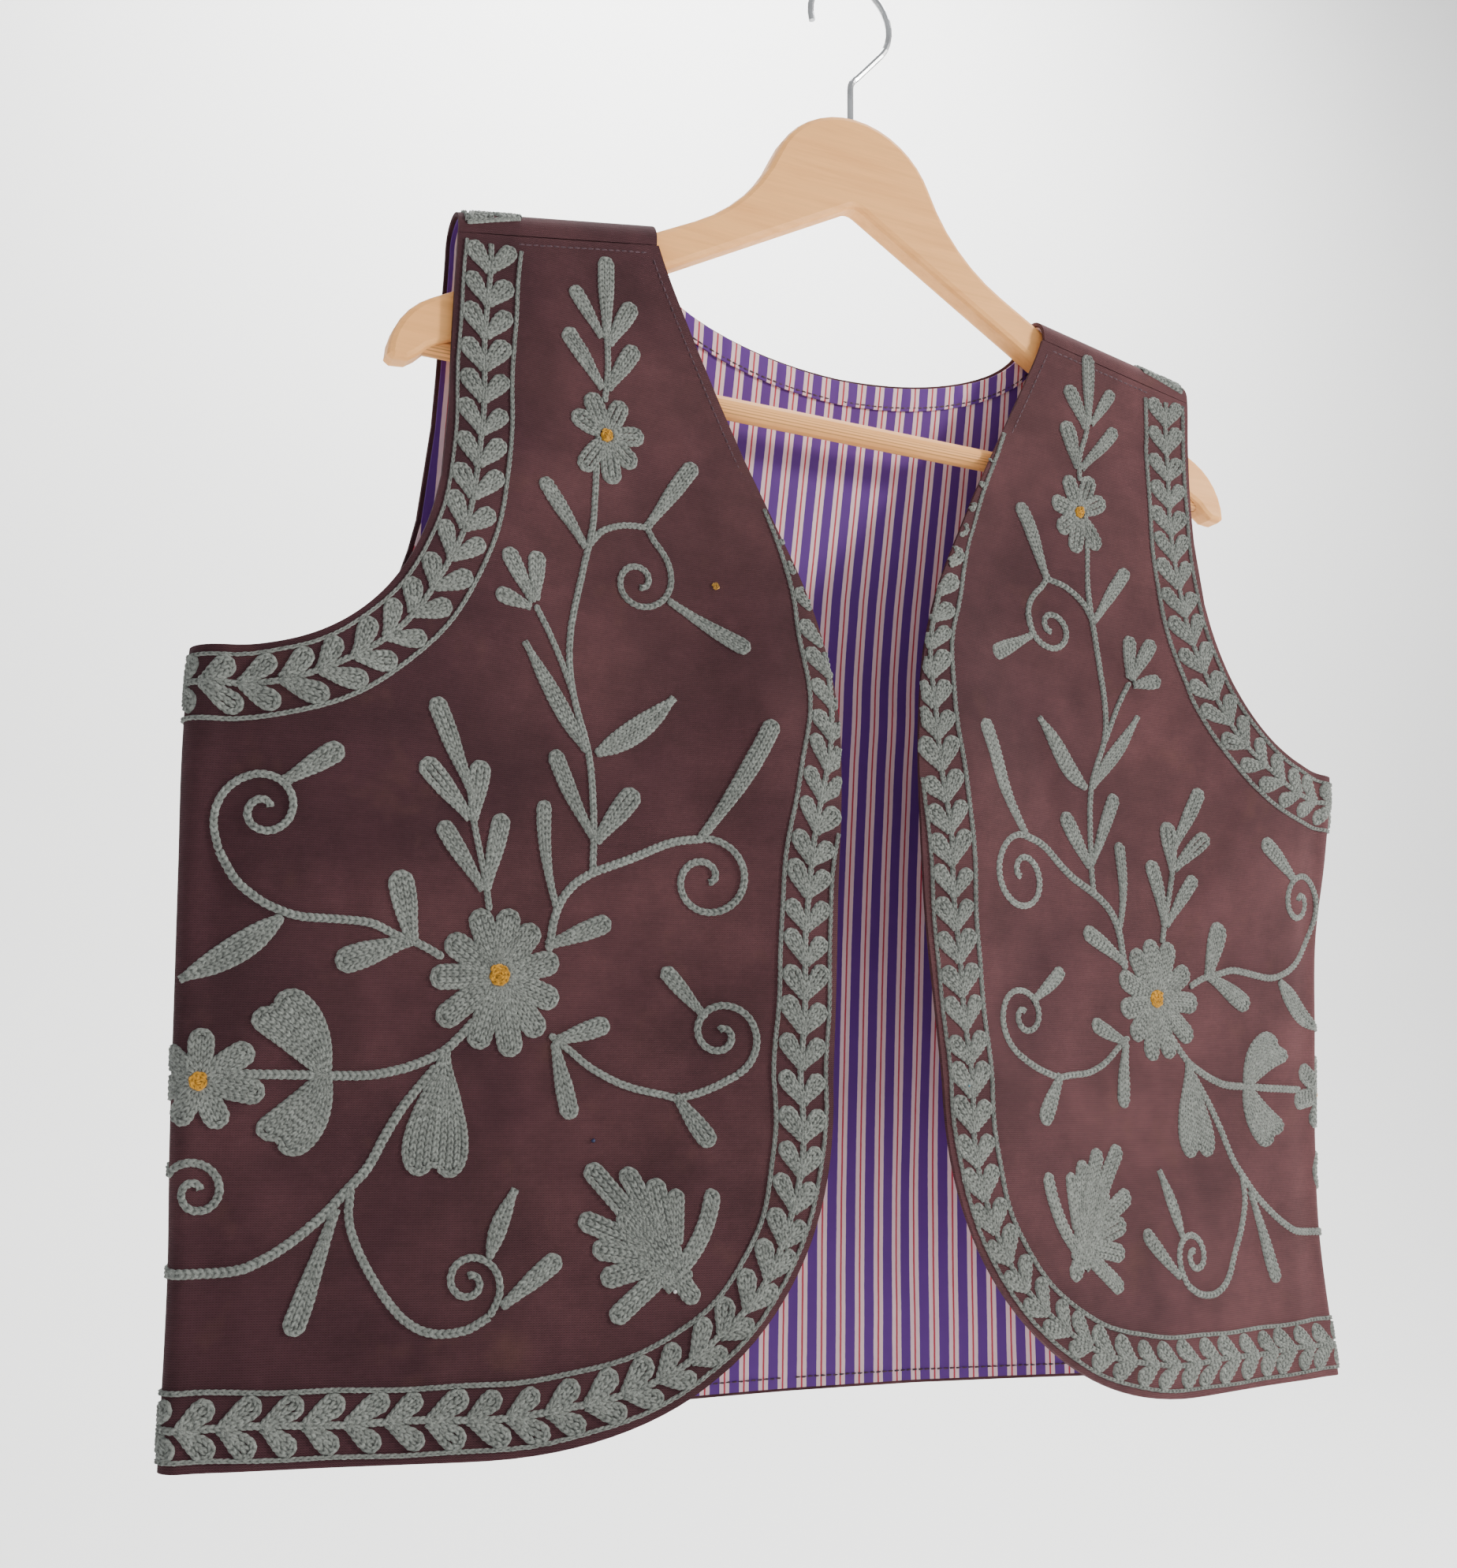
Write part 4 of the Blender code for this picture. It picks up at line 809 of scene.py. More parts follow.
class Embroidery:
    """Rows of chain stitch on one side of the waistcoat, gathered into one piece.

    base is how far outside the skin the stitches rest, and way is -1 on the inside of the cloth.
    """

    def __init__(self, side, seed, stitch=None, height=None, base=0.0, way=1.0):
        self.side, self.base, self.way = side, base, way
        self.sizes = bpy.context.scene.waistcoat_wool
        self.stitch, self.height = stitch or self.sizes.stitch, height or self.sizes.height
        self.chance = np.random.default_rng(seed)
        self.rows = []

    def row(self, points, width=None, dye=0.0, lift=0.0):
        """One row of stitches along points of (wrap, height)."""
        points = np.asarray(points, float)
        marks = run_along(points)
        if marks[-1] < SHORTEST_ROW:
            return
        count = max(1, round(marks[-1] / self.stitch))
        at = np.append((np.arange(count)[:, None] + STITCH_AT).ravel() / count, 1.0)
        distance = at * marks[-1]
        end = np.ones(len(at))
        end[0], end[-1] = 0.70, 0.60
        steps = len(STITCH_AT)
        phase = np.append(np.tile(np.arange(steps), count), 0)
        tone = np.repeat(self.chance.uniform(0.0, 0.45, count + 1), steps)[:len(at)]
        place = along_line(points, marks, distance) + self.chance.normal(0.0, 0.05, (len(at), 2))
        half = (width or self.sizes.row) * 0.5 * self.chance.uniform(0.95, 1.07)
        tone += self.chance.uniform(0.0, 0.55)
        lift += self.chance.uniform(-0.05, 0.05)
        same = np.ones((len(at), 1)) * (half, dye, lift)
        self.rows.append(np.column_stack([place, heading(points, marks, distance, 1.0), phase, end,
                                          tone, at * count, same]))

    def piece(self, name, nodes, finish, slot):
        """Make every row into one mesh of raised loops."""
        stations = np.concatenate(self.rows)
        last = len(stations) - 1
        shape = bmesh.new()
        bmesh.ops.create_grid(shape, x_segments=4, y_segments=last, size=0.5)
        between = set((np.cumsum([len(row) for row in self.rows])[:-1] - 1).tolist())
        loose = [face for face in shape.faces
                 if int((face.calc_center_median().y + 0.5) * last) in between]
        bmesh.ops.delete(shape, geom=loose, context="FACES_ONLY")
        mesh = mesh_from(name, shape)
        strand, station = grid_places(mesh, 4, last)
        place, ahead = stations[station, :2], stations[station, 2:4]
        kind, size, tone, run, half, dye, lift = stations[station, 4:].T
        kind = kind.astype(int)
        rim = strand % 4 == 0
        across = np.sign(strand - 2) * np.where(rim, 1.0, STRAND_OUT[kind])
        valley = np.where(strand == 2, VALLEY_HIGH[kind], 1.0)
        rise = np.where(rim, 0.0, STRAND_HIGH[kind] * valley)
        offset = across * half * STITCH_WIDTH[kind] * (0.3 + 0.7 * size)
        push = (np.abs(across) - 0.5) * STRAND_AHEAD * self.stitch
        push *= np.maximum(size - 0.55, 0.0) / 0.45
        spot = place + left_of(ahead) * offset[:, None] + ahead * push[:, None]
        above = rise * (self.height * (0.35 + 0.65 * size) + SUNK) - SUNK + lift * (rise > 0.0)
        placed, outward = lifted(spot[:, 0], spot[:, 1], self.base + self.way * above, self.side)
        mesh.vertices.foreach_set("co", placed.ravel())
        mesh.update()
        for key, values in (("dye", dye), ("tone", tone)):
            mesh.attributes.new(key, "FLOAT", "POINT").data.foreach_set("value", values)
        loops = set_chart(mesh, pair(across, run))
        faces = mesh.polygons
        normals = np.empty(len(faces) * 3)
        faces.foreach_get("normal", normals)
        first = np.empty(len(faces), int)
        faces.foreach_get("loop_start", first)
        if (normals.reshape(-1, 3) * outward[loops[first]]).sum() * self.way < 0.0:
            mesh.flip_normals()
        return piece(name, mesh, [finish], nodes, slot)


def run_along(points):
    """The distance to each point of a line from its start."""
    return np.concatenate([[0.0], np.cumsum(np.linalg.norm(np.diff(points, axis=0), axis=1))])


def along_line(points, marks, distance):
    """Points at distances along a line, whose own points lie at the marks."""
    return pair(*(np.interp(distance, marks, points[:, k]) for k in (0, 1)))


def heading(points, marks, distance, reach):
    """Which way a line runs at distances along it, over a reach before and after."""
    ahead = along_line(points, marks, distance + reach) - along_line(
        points, marks, distance - reach)
    return ahead / np.maximum(np.linalg.norm(ahead, axis=1), 1e-9)[:, None]


def left_of(ahead):
    """The direction at a right angle to the left."""
    return pair(-ahead[..., 1], ahead[..., 0])


def even_line(points, step):
    """The same line with evenly spaced points."""
    points = np.asarray(points, float)
    marks = run_along(points)
    return along_line(points, marks, np.linspace(0.0, marks[-1], max(3, int(marks[-1] / step))))


def curved(points, steps=10):
    """A smooth line through a few points."""
    points = np.asarray(points, float)
    at = np.linspace(0.0, len(points) - 1.0, (len(points) - 1) * steps + 1)
    marks = np.arange(len(points))
    return pair(*(spline(marks, points[:, k], at) for k in (0, 1)))


def moved_in(line, away):
    """An even line moved to its left, or right below zero; away may depend on the height."""
    even = even_line(line, 2.0)
    ahead = np.gradient(even, axis=0)
    for _ in range(8):
        ahead[1:-1] = (ahead[:-2] + ahead[1:-1] + ahead[2:]) / 3.0
    ahead /= np.linalg.norm(ahead, axis=1)[:, None]
    reach = away(even[:, 1]) if callable(away) else away
    return even_line(even + left_of(ahead) * np.reshape(reach + np.zeros(len(even)), (-1, 1)), 3.0)


def spiral(centre, start_angle, radius, turns, end_radius=2.2, ease=0.7):
    """A curl that winds in; turns below zero wind the other way."""
    share = np.linspace(0.0, 1.0, int(abs(turns) * 26) + 8)
    angle = np.radians(start_angle) + share * turns * 2.0 * math.pi
    reach = mix(radius, end_radius, share ** ease)
    return pair(centre[0] + reach * np.cos(angle), centre[1] + reach * np.sin(angle))


LOBE_SHARE, LOBE_TURN, LOBED_BASE = 0.55, 140.0, 0.18
BODY_SHAPES = {
    # kind: half width at the base and where it becomes full, as shares
    "finger": (0.50, 0.70), "club": (0.45, 0.92), "petal": (0.70, 0.45), "lobe": (0.92, 0.30),
}


def half_outline(kind, length, half, inset):
    """Half a leaf's outline as (along, across) from its base to its tip, moved in by an inset."""
    share = np.linspace(0.0, 1.0, 13)
    if kind == "blade":
        across = half * np.sin(np.pi * share ** 0.85) ** 0.66 - inset
        along = inset * 0.8 + share * (length - 1.6 * inset)
    elif kind in ("heart", "drop"):
        lobe = half * LOBE_SHARE
        deep = lobe * (1.0 if kind == "heart" else 1.5)
        shoulder = length - deep
        share = share[:-1]
        turn = np.radians(np.linspace(0.0, LOBE_TURN, 9))
        wide = (1.0 - (1.0 - share) ** 1.9) if kind == "heart" else smooth_step(share) ** 0.8
        along = np.concatenate([share * shoulder, shoulder + (deep - inset) * np.sin(turn)])
        across = np.concatenate([half * mix(LOBED_BASE, 1.0, wide) - inset,
                                 half - lobe + (lobe - inset) * np.cos(turn)])
    else:
        narrow, widest = BODY_SHAPES[kind]
        share = share[:-1:2]
        straight = length - half
        turn = np.radians(np.linspace(0.0, 90.0, 7))
        body = mix(narrow, 1.0, smooth_step(share * straight / length / widest))
        body *= half / mix(narrow, 1.0, smooth_step(straight / length / widest))
        along = np.concatenate([share * straight, straight + (half - inset) * np.sin(turn)])
        across = np.concatenate([body - inset, (half - inset) * np.cos(turn)])
    return along, np.maximum(across, 0.05)


def leaf_rows(length, half, kind, row):
    """Rows that fill a leaf, as points along and across: its outline, then lanes within."""
    inset = row * OVERLAP * 0.5
    along, across = half_outline(kind, length, half, inset)
    sides = [pair(along, hand * across) for hand in (1.0, -1.0)]
    yield from sides if kind == "blade" else [np.concatenate([sides[0], sides[1][::-1]])]
    lanes = max(round(2.0 * (half - inset) / (1.2 * row)), 2 if half - inset > 1.2 else 1)
    lanes += lanes % 2 if lanes > 3 else 0
    split = int(np.argmax(across))
    for lane in range(1, lanes):
        share = 2.0 * lane / lanes - 1.0
        end = float(np.interp(abs(share) * across[split], across[split:][::-1],
                              along[split:][::-1])) - 0.6 * row
        wide = np.interp(np.linspace(0.0, end, 24), along[:split + 1], across[:split + 1])
        needed = min(0.36, 2.3 / lanes) if lane % 2 else 0.50
        roomy = np.flatnonzero(2.0 * wide / lanes > needed * row)
        start = 0.05 * length if 2 * lane == lanes or not len(roomy) else roomy[0] / 23.0 * end
        run = np.linspace(min(start, end - 3.0), end, 12)
        yield pair(run, share * np.interp(run, along[:split + 1], across[:split + 1]))


def sew_leaf(work, base, tip, half, kind, place, bend=0.0):
    """Fill one leaf; bend bows its middle to the left, and place turns it into wrap and height."""
    base, tip = np.asarray(base, float), np.asarray(tip, float)
    length = float(np.linalg.norm(tip - base))
    ahead = (tip - base) / length
    sideways = left_of(ahead)
    for line in leaf_rows(length, half, kind, work.sizes.row):
        bow = bend * 4.0 * (line[:, 0] / length) * (1.0 - line[:, 0] / length)
        work.row(place(base + ahead * line[:, :1] + sideways * (line[:, 1:] + bow[:, None])),
                 width=work.sizes.row * OVERLAP)


def sew_flower(work, centre, petals, half, heart, place):
    """Petals, each an angle and a length, round an ochre centre."""
    centre = np.asarray(centre, float)
    for angle, length in petals:
        turn = math.radians(angle)
        ahead = np.array([math.cos(turn), math.sin(turn)])
        sew_leaf(work, centre + ahead * heart * 0.8, centre + ahead * length, half, "petal", place)
    rounds = spiral(centre, 30.0, heart - 0.8, heart / 2.1, 0.9, 1.0)
    work.row(place(rounds), width=CENTRE_ROW, dye=1.0, lift=CENTRE_LIFT)
    knot = centre + np.linspace([-1.3, -0.4], [1.3, 0.4], 5)
    work.row(place(knot), width=KNOT_ROW, dye=1.0, lift=KNOT_LIFT)


def sew_seam(work, line, share=0.74):
    """A line of running stitches, each as long as a share of the distance between two."""
    marks = run_along(line)
    for start in np.arange(0.0, marks[-1] - SEAM_STITCH, SEAM_STITCH):
        stitch = start + np.linspace(0.0, SEAM_STITCH * share, 4)
        work.row(along_line(line, marks, stitch), width=SEAM_THREAD)


LEAVES = (
    # base out, height; tip out, height; half width; kind; bend
    (128, -146, 130, -108, 4, "finger", 0), (130, -146, 145, -125, 3.6, "finger", 0),
    (127, -149, 116, -127, 4.4, "finger", 0), (129, -170, 147, -145, 4.1, "finger", 0),
    (127, -170, 114, -147, 4.4, "finger", 0), (135, -244, 156, -216, 3.7, "finger", 0),
    (107, -230, 85, -197, 4.1, "finger", 0), (97, -262, 61, -282, 4.2, "club", 0),
    (158, -272, 171, -250, 4.1, "finger", 0), (157, -271, 157, -249, 4.1, "finger", 0),
    (159, -274, 175, -270, 3.8, "finger", 0), (132, -334, 162, -288, 3.9, "blade", 0),
    (130, -334, 94, -305, 5.2, "blade", 2), (129, -368, 147, -333, 3.8, "finger", -1),
    (128, -370, 111, -347, 4.8, "finger", 0), (143, -397, 150, -354, 3.4, "club", -2),
    (84, -367, 52, -313, 4.2, "finger", 1.5), (146, -413, 120, -402, 4.2, "finger", 0),
    (180, -354, 198, -317, 4.2, "finger", 0), (180, -364, 201, -342, 4.6, "finger", 0),
    (179, -365, 177, -340, 4.6, "finger", 0), (173, -392, 192, -366, 3.9, "finger", 0),
    (172, -392, 167, -361, 4, "finger", 0), (199, -415, 207, -386, 5.4, "finger", 0),
    (201, -413, 228, -423, 5.3, "finger", 0), (253, -355, 232, -340, 4.4, "finger", 0),
    (248, -405, 285, -431, 5.5, "blade", -2), (222, -514, 236, -559, 4.4, "club", 0),
    (166, -534, 155, -506, 3.5, "blade", -1), (161, -550, 139, -532, 3.9, "finger", 0),
    (142, -451, 119, -443, 4, "finger", 0), (141, -451, 134, -481, 3.9, "finger", 0),
    (80, -440, 98, -420, 3.6, "finger", 0), (93, -471, 79, -491, 4.3, "finger", 0),
    (228, -466, 252, -438, 11.2, "heart", 3.5), (228, -463, 247, -491, 10.8, "heart", -3.5),
    (184, -455, 187, -503, 12.8, "drop", 0), (93, -543, 114, -512, 9, "petal", 0),
    (104, -527, 128, -498, 4.4, "lobe", 0), (101, -524, 114, -499, 4.2, "lobe", 0),
    (98, -525, 103, -503, 4.3, "lobe", 0), (95, -528, 94, -507, 3.7, "lobe", 0),
    (106, -529, 132, -518, 4.3, "lobe", 0), (104, -533, 127, -529, 4.3, "lobe", 0),
    (102, -535, 124, -541, 4.3, "lobe", 0), (98, -537, 120, -556, 4.1, "lobe", 0),
    (94, -538, 79, -507, 3.5, "lobe", 3), (97, -536, 87, -550, 4.1, "lobe", 0),
)
STEMS = (
    # width, points of out and height
    (3.2, ((128, -176), (127, -160), (128, -142))),
    (3.3, ((131, -205), (132, -231), (136, -254), (141, -282), (140, -305), (132, -333),
           (129, -360), (128.5, -383))),
    (3.8, ((145, -415), (143, -400), (138, -390), (129, -383), (112.5, -376), (96, -368.5),
           (82.4, -366))),
    (2.8, ((157, -273), (151, -283), (145, -295), (140, -307))),
    (3.2, ((134, -243), (128, -235.5), (118, -231), (107, -230))),
    (3.2, ((170, -400), (173, -386), (179, -364), (181, -352))),
    (3.6, ((187, -419), (197, -414), (206, -411), (216, -407), (228, -406), (242, -405.5),
           (251, -403), (259, -399), (267, -392), (273.3, -381.7))),
    (3.8, ((173, -443), (179, -450), (185, -455.5), (194, -460), (203, -463), (215, -465),
           (238, -465), (268, -465))),
    (3.8, ((187, -461), (198, -475), (205, -487), (211, -499), (218, -507), (226, -516),
           (237, -525.5), (248, -532.5), (258, -536), (279, -537))),
    (3.4, ((217, -506), (217, -519), (211.5, -533), (202.5, -547), (194, -555.5),
           (185, -559), (174, -558), (165.4, -553.4))),
    (3.4, ((143, -448), (135, -454), (126, -461), (113, -467.5), (98, -471), (91, -472),
           (79, -468.5), (68.1, -462.9))),
)
CURLS = (
    # centre out, height; start angle, radius, turns, last radius, ease, width
    (110.5, -255.2, 98, 25.3, 1.46, 2.8, 0.41, 3.2),
    (80.6, -383.1, 84, 17.3, 1.38, 1.5, 1.45, 3.5),
    (259, -365.8, 312, 21.4, 1.56, 2.3, 0.60, 3.4),
    (172.9, -540.9, 239, 14.6, -1.45, 2.2, 0.59, 3.2),
    (74.4, -446.5, 249, 17.6, -1.49, 1.6, 0.80, 3.2),
)
FLOWERS = (
    # out, height, petals (angle, length), half width of a petal, centre's radius
    (127, -191.6, ((27, 18), (67, 20.5), (113, 19), (171, 18), (221, 18.5), (260, 22),
                   (302, 21)), 4.7, 3.1),
    (164.5, -425.4, ((-3, 27.5), (33, 26), (68, 28), (96, 27), (124, 25), (164, 25), (202, 26.5),
                     (232, 29.5), (258, 32.5), (285, 30), (320, 30)), 5.3, 4.7),
)
FOLD_FLOWER = (
    # the same for the flower on the side fold, in wrap and height
    13, -468, ((-10, 24), (35, 23), (88, 20), (140, 19), (190, 19), (243, 18), (297, 19)),
    5, 3.8,
)
FOLD_CURL_START, FOLD_CURL = ((-14.0, -498.0), (-8.0, -496.0)), (12.5, -508.0)
FOLD_TWIGS = (
    # points of wrap and height
    ((8, -537), (-4, -535), (-14, -528)),
    ((8, -537), (-4, -538), (-14, -545)),
)
LOOSE_STITCH = (75.0, -253.0)
RIGHT_FOLD_SHIFT = -12.0
RIGHT_SHIFTS = (
    # out, height, and how far the right front's drawing lies from the left's there
    (128, -149, 6, 10), (129, -169, -3, 9), (127, -192, -2, 6), (134, -244, -4, 2),
    (110, -255, -5, 10), (85, -197, 4, 12), (61, -282, 9, 17), (157, -274, -7, 3),
    (131, -334, -9, 8), (162, -289, -7, 2), (94, -306, -1, 13), (128, -368, -7, 6),
    (150, -355, -12, 3), (82, -366, -2, 15), (79, -385, -3, 13), (52, -314, 5, 13),
    (120, -403, -5, 9), (164, -425, -1, 0), (172, -392, -4, 3), (198, -318, -8, -4),
    (184, -457, 0, 1), (240, -465, -2, -1), (252, -404, 1, -6), (260, -366, 6, -6),
    (217, -507, 1, -2), (172, -541, 4, -3), (91, -471, 6, 11), (75, -446, 2, 13), (98, -420, 7, 7),
    (141, -451, 3, 6), (98, -536, 3, -1), (127, -500, 6, 6), (86, -550, 7, 2), (256, -432, 0, -8),
    (249, -492, 0, 2), (228, -465, -5, 1), (188, -505, 1, 6),
)
SHIFT_REACH = 16.0
BEAD_RADIUS = 0.8
BEADS = (
    # name, side, out, height, colour
    ("white_bead", -1, 95.5, -545.5, (0.75, 0.74, 0.72)),
    ("navy_bead", -1, 125.5, -489, (0.015, 0.022, 0.075)),
    ("turquoise_bead", 1, 39.5, -466, (0.02, 0.22, 0.32)),
)


def drawn(side):
    """What turns a drawing's out and height into wrap and height on one front."""
    shifts = np.array(RIGHT_SHIFTS, float)

    def place(line):
        line = np.asarray(line, float)
        if side > 0:
            apart = ((line[:, None] - shifts[None, :, :2]) ** 2).sum(axis=2)
            share = 1.0 / (apart + SHIFT_REACH ** 2) ** 1.5
            line = line + share @ shifts[:, 2:] / share.sum(axis=1)[:, None]
        return pair(wrap_at(line[:, 0], line[:, 1]), line[:, 1])
    return place


def border(work, stem, inward, inner, outer, on_cloth=None, kept=1.0, closed=False):
    """Leaf pairs along a stem between two chain lines; inward is 1 where the cloth is to its left.

    on_cloth, where given, tells which points of a line lie short of the cloth's edge, and kept is
    the share of its width that the outer side keeps at each of the stem's points.
    """
    marks = run_along(stem)
    length = marks[-1]

    def sew(distance, away, **look):
        """One row, given by distances along the stem and away from it."""
        left = left_of(heading(stem, marks, distance, 4.0))
        share = np.interp(distance, marks, kept + np.zeros(len(marks)))
        away = np.where(away < 0.0, away * share, away)
        line = along_line(stem, marks, distance) + left * (away * inward)[:, None]
        work.row(line[on_cloth(line)] if on_cloth else line, **look)

    run = np.arange(0.0, length, 2.0)
    sway = 0.4 * np.sin(run / 23.0) + 0.25 * np.sin(run / 7.0)
    sew(run, inner + sway, width=INNER_ROW)
    sew(run, -outer + sway * 0.7, width=OUTER_ROW)
    sew(run, 0.4 * np.sin(run / 9.0), width=STEM_ROW)
    if closed:
        sew(np.full(9, length), np.linspace(-outer, inner, 9), width=CLOSING_ROW)
    count = round(length / BORDER_PITCH)
    pitch = length / count
    for number in range(count):
        start = (number + 0.08) * pitch
        for hand in (1.0, -1.0):
            room = inner - 2.0 if hand > 0.0 else outer - 1.2
            tip = np.array([min(pitch * work.chance.uniform(*LEAF_RUN), length - start - 0.5),
                            room * work.chance.uniform(*LEAF_REACH)])
            reach = float(np.linalg.norm(tip))
            ahead = tip / reach
            half = work.chance.uniform(*LEAF_HALF) * min(1.0, reach / 13.0)
            for line in leaf_rows(reach, half, "finger", work.sizes.row):
                spot = line[:, :1] * ahead + hand * line[:, 1:] * left_of(ahead)
                spot[:, 1] = np.clip(spot[:, 1], -1.0, room)
                sew(start + spot[:, 0], hand * spot[:, 1],
                    width=work.sizes.row * OVERLAP, lift=0.1)


def front_edge_line(top):
    """The free edge from the border's top down to the hem and round to the side seam."""
    turns = np.radians(np.linspace(0.0, 90.0, 40)[1:])
    low = CORNER_TOP - (CORNER_TOP - HEM) * np.sin(turns) ** (2.0 / CORNER_ROUNDNESS)
    heights = np.concatenate([np.linspace(top, CORNER_TOP, 40), low])
    hem = np.linspace(float(wrap_at(CORNER_END, HEM)), SIDE_SEAM, 60)[1:]
    return np.concatenate([pair(wrap_at(free_edge(heights), heights), heights), pair(hem, HEM)])


def arm_line(face):
    """The armhole's edge from the shoulder down to the side seam."""
    base = float(shoulder_base(CREST_ARM[0]))
    top = base - SEAM_BELOW_BASE - 1.0 if face > 0 else base + math.pi * CREST_RADIUS - 1.5
    line = pair(plumb_wrap(face), np.linspace(top, ARM_STRAIGHT, 40)[:-1])
    turn = np.radians(np.linspace(0.0, 90.0, 50))
    power = 2.0 / ARM_ROUNDNESS
    curve = pair(mix(arm_bottom(face), plumb_wrap(face), np.cos(turn) ** power),
                 mix(ARM_STRAIGHT, ARMPIT, np.sin(turn) ** power))
    ends = [pair(np.linspace(LEVEL_END, SIDE_SEAM, 20)[1:], ARMPIT)] if face > 0 else []
    return np.concatenate([line, curve] + ends)


# Operators --------------------------------------------------------------------------------------
class WAISTCOAT_OT_stage(bpy.types.Operator):
    """Floor, far wall, lights, world and camera."""
    bl_idname = "waistcoat.stage"
    bl_label = "Stage"

    def execute(self, context):
        shape = bmesh.new()
        bmesh.ops.create_grid(shape, x_segments=1, y_segments=40, size=0.5)
        width, depth, near = 16.0, 14.0, 4.0
        floor, reach, bend = -1.25, 2.6, 1.2
        for corner in shape.verts:
            across, run = corner.co.x * width, (corner.co.y + 0.5) * depth - near
            past = run - reach + bend
            if past < 0.0:
                corner.co = (across, run, floor)
            else:
                turn = min(past / bend, math.pi / 2.0)
                rise = max(0.0, past - bend * math.pi / 2.0)
                corner.co = (across, reach - bend + bend * math.sin(turn),
                             floor + bend * (1.0 - math.cos(turn)) + rise)
        mesh = mesh_from("floor", shape)
        mesh.shade_smooth()
        finish = Finish("pale floor", roughness=0.9)
        mesh.materials.append(finish.use(base_color=finish.ramp(
            finish.noise(0.8), ((0.2, (0.86, 0.86, 0.85)), (0.8, (0.90, 0.90, 0.89))))))
        made = bpy.data.objects.new("floor", mesh)
        context.scene.collection.objects.link(made)
        world = context.scene.world or bpy.data.worlds.new("studio")
        context.scene.world = world
        world.use_nodes = True
        sky = world.node_tree.nodes["Background"]
        sky.inputs["Color"].default_value = (0.97, 0.98, 1.0, 1.0)
        sky.inputs["Strength"].default_value = 0.72
        middle, backdrop = (0.0, 0.0, -0.40), (1.4, 2.6, 0.2)
        for name, spot, towards, size, power, colour in (
                ("key", (1.55, -1.30, 0.25), middle, 0.35, 46.0, (1.0, 0.965, 0.92)),
                ("fill", (-1.2, -1.8, 0.6), middle, 1.6, 2.0, (0.93, 0.96, 1.0)),
                ("wash", (0.9, 0.9, 2.4), backdrop, 2.5, 300.0, (1.0, 1.0, 1.0))):
            lamp = bpy.data.lights.new(name, "AREA")
            lamp.size, lamp.energy, lamp.color = size, power, colour
            lit = bpy.data.objects.new(name, lamp)
            lit.location = spot
            lit.rotation_euler = (Vector(towards) - Vector(spot)).to_track_quat(
                "-Z", "Y").to_euler()
            context.scene.collection.objects.link(lit)
        return self.look(context)

    def look(self, context):
        """The camera: turned to the right, tilted up and barely rolled."""
        yaw, pitch, roll = (math.radians(angle) for angle in (24.977, 11.309, 0.794))
        data = bpy.data.cameras.new("camera")
        data.sensor_width, data.lens, data.shift_y = 36.0, 36.88, -0.01854
        data.clip_start, data.clip_end = 0.05, 60.0
        camera = bpy.data.objects.new("camera", data)
        camera.matrix_world = (
            Matrix.Translation((-0.3544, -0.6282, -0.5413)) @ Matrix.Rotation(-yaw, 4, "Z")
            @ Matrix.Rotation(math.pi / 2.0 + pitch, 4, "X") @ Matrix.Rotation(roll, 4, "Z"))
        context.scene.collection.objects.link(camera)
        context.scene.camera = camera
        return {"FINISHED"}


class WAISTCOAT_OT_hanger(bpy.types.Operator):
    """Wooden board, bar and wire hook."""
    bl_idname = "waistcoat.hanger"
    bl_label = "Hanger"

    def execute(self, context):
        nodes = frame["nodes"]
        bar = nodes["trouser_bar"].data.vertices
        middle = sum(corner.co.z for corner in bar) / len(bar) / MM
        for name, finish in (("hanger_board", finish_named("pale wood", wood_finish)),
                             ("trouser_bar", wood_finish("grooved wood", middle)),
                             ("hanger_hook", finish_named("steel wire", steel_finish))):
            nodes[name].material_slots[0].material = finish
        return {"FINISHED"}


class WAISTCOAT_OT_fronts(bpy.types.Operator):
    """The two canvas fronts, lined inside."""
    bl_idname = "waistcoat.fronts"
    bl_label = "Fronts"

    def execute(self, context):
        sizes = context.scene.waistcoat_cloth
        finishes = [finish_named("plum canvas", canvas_finish),
                    finish_named("striped cotton 0.0", stripe_finish)]
        spots = front_spots()
        for side in (-1, 1):
            name = side_name(side)
            cloth("front_cloth_" + name, "front_" + name, spots, side, 0.0, CANVAS, sizes.rim,
                  finishes, "plum_canvas", (0.30, 0.51), "hanger_board")
        return {"FINISHED"}


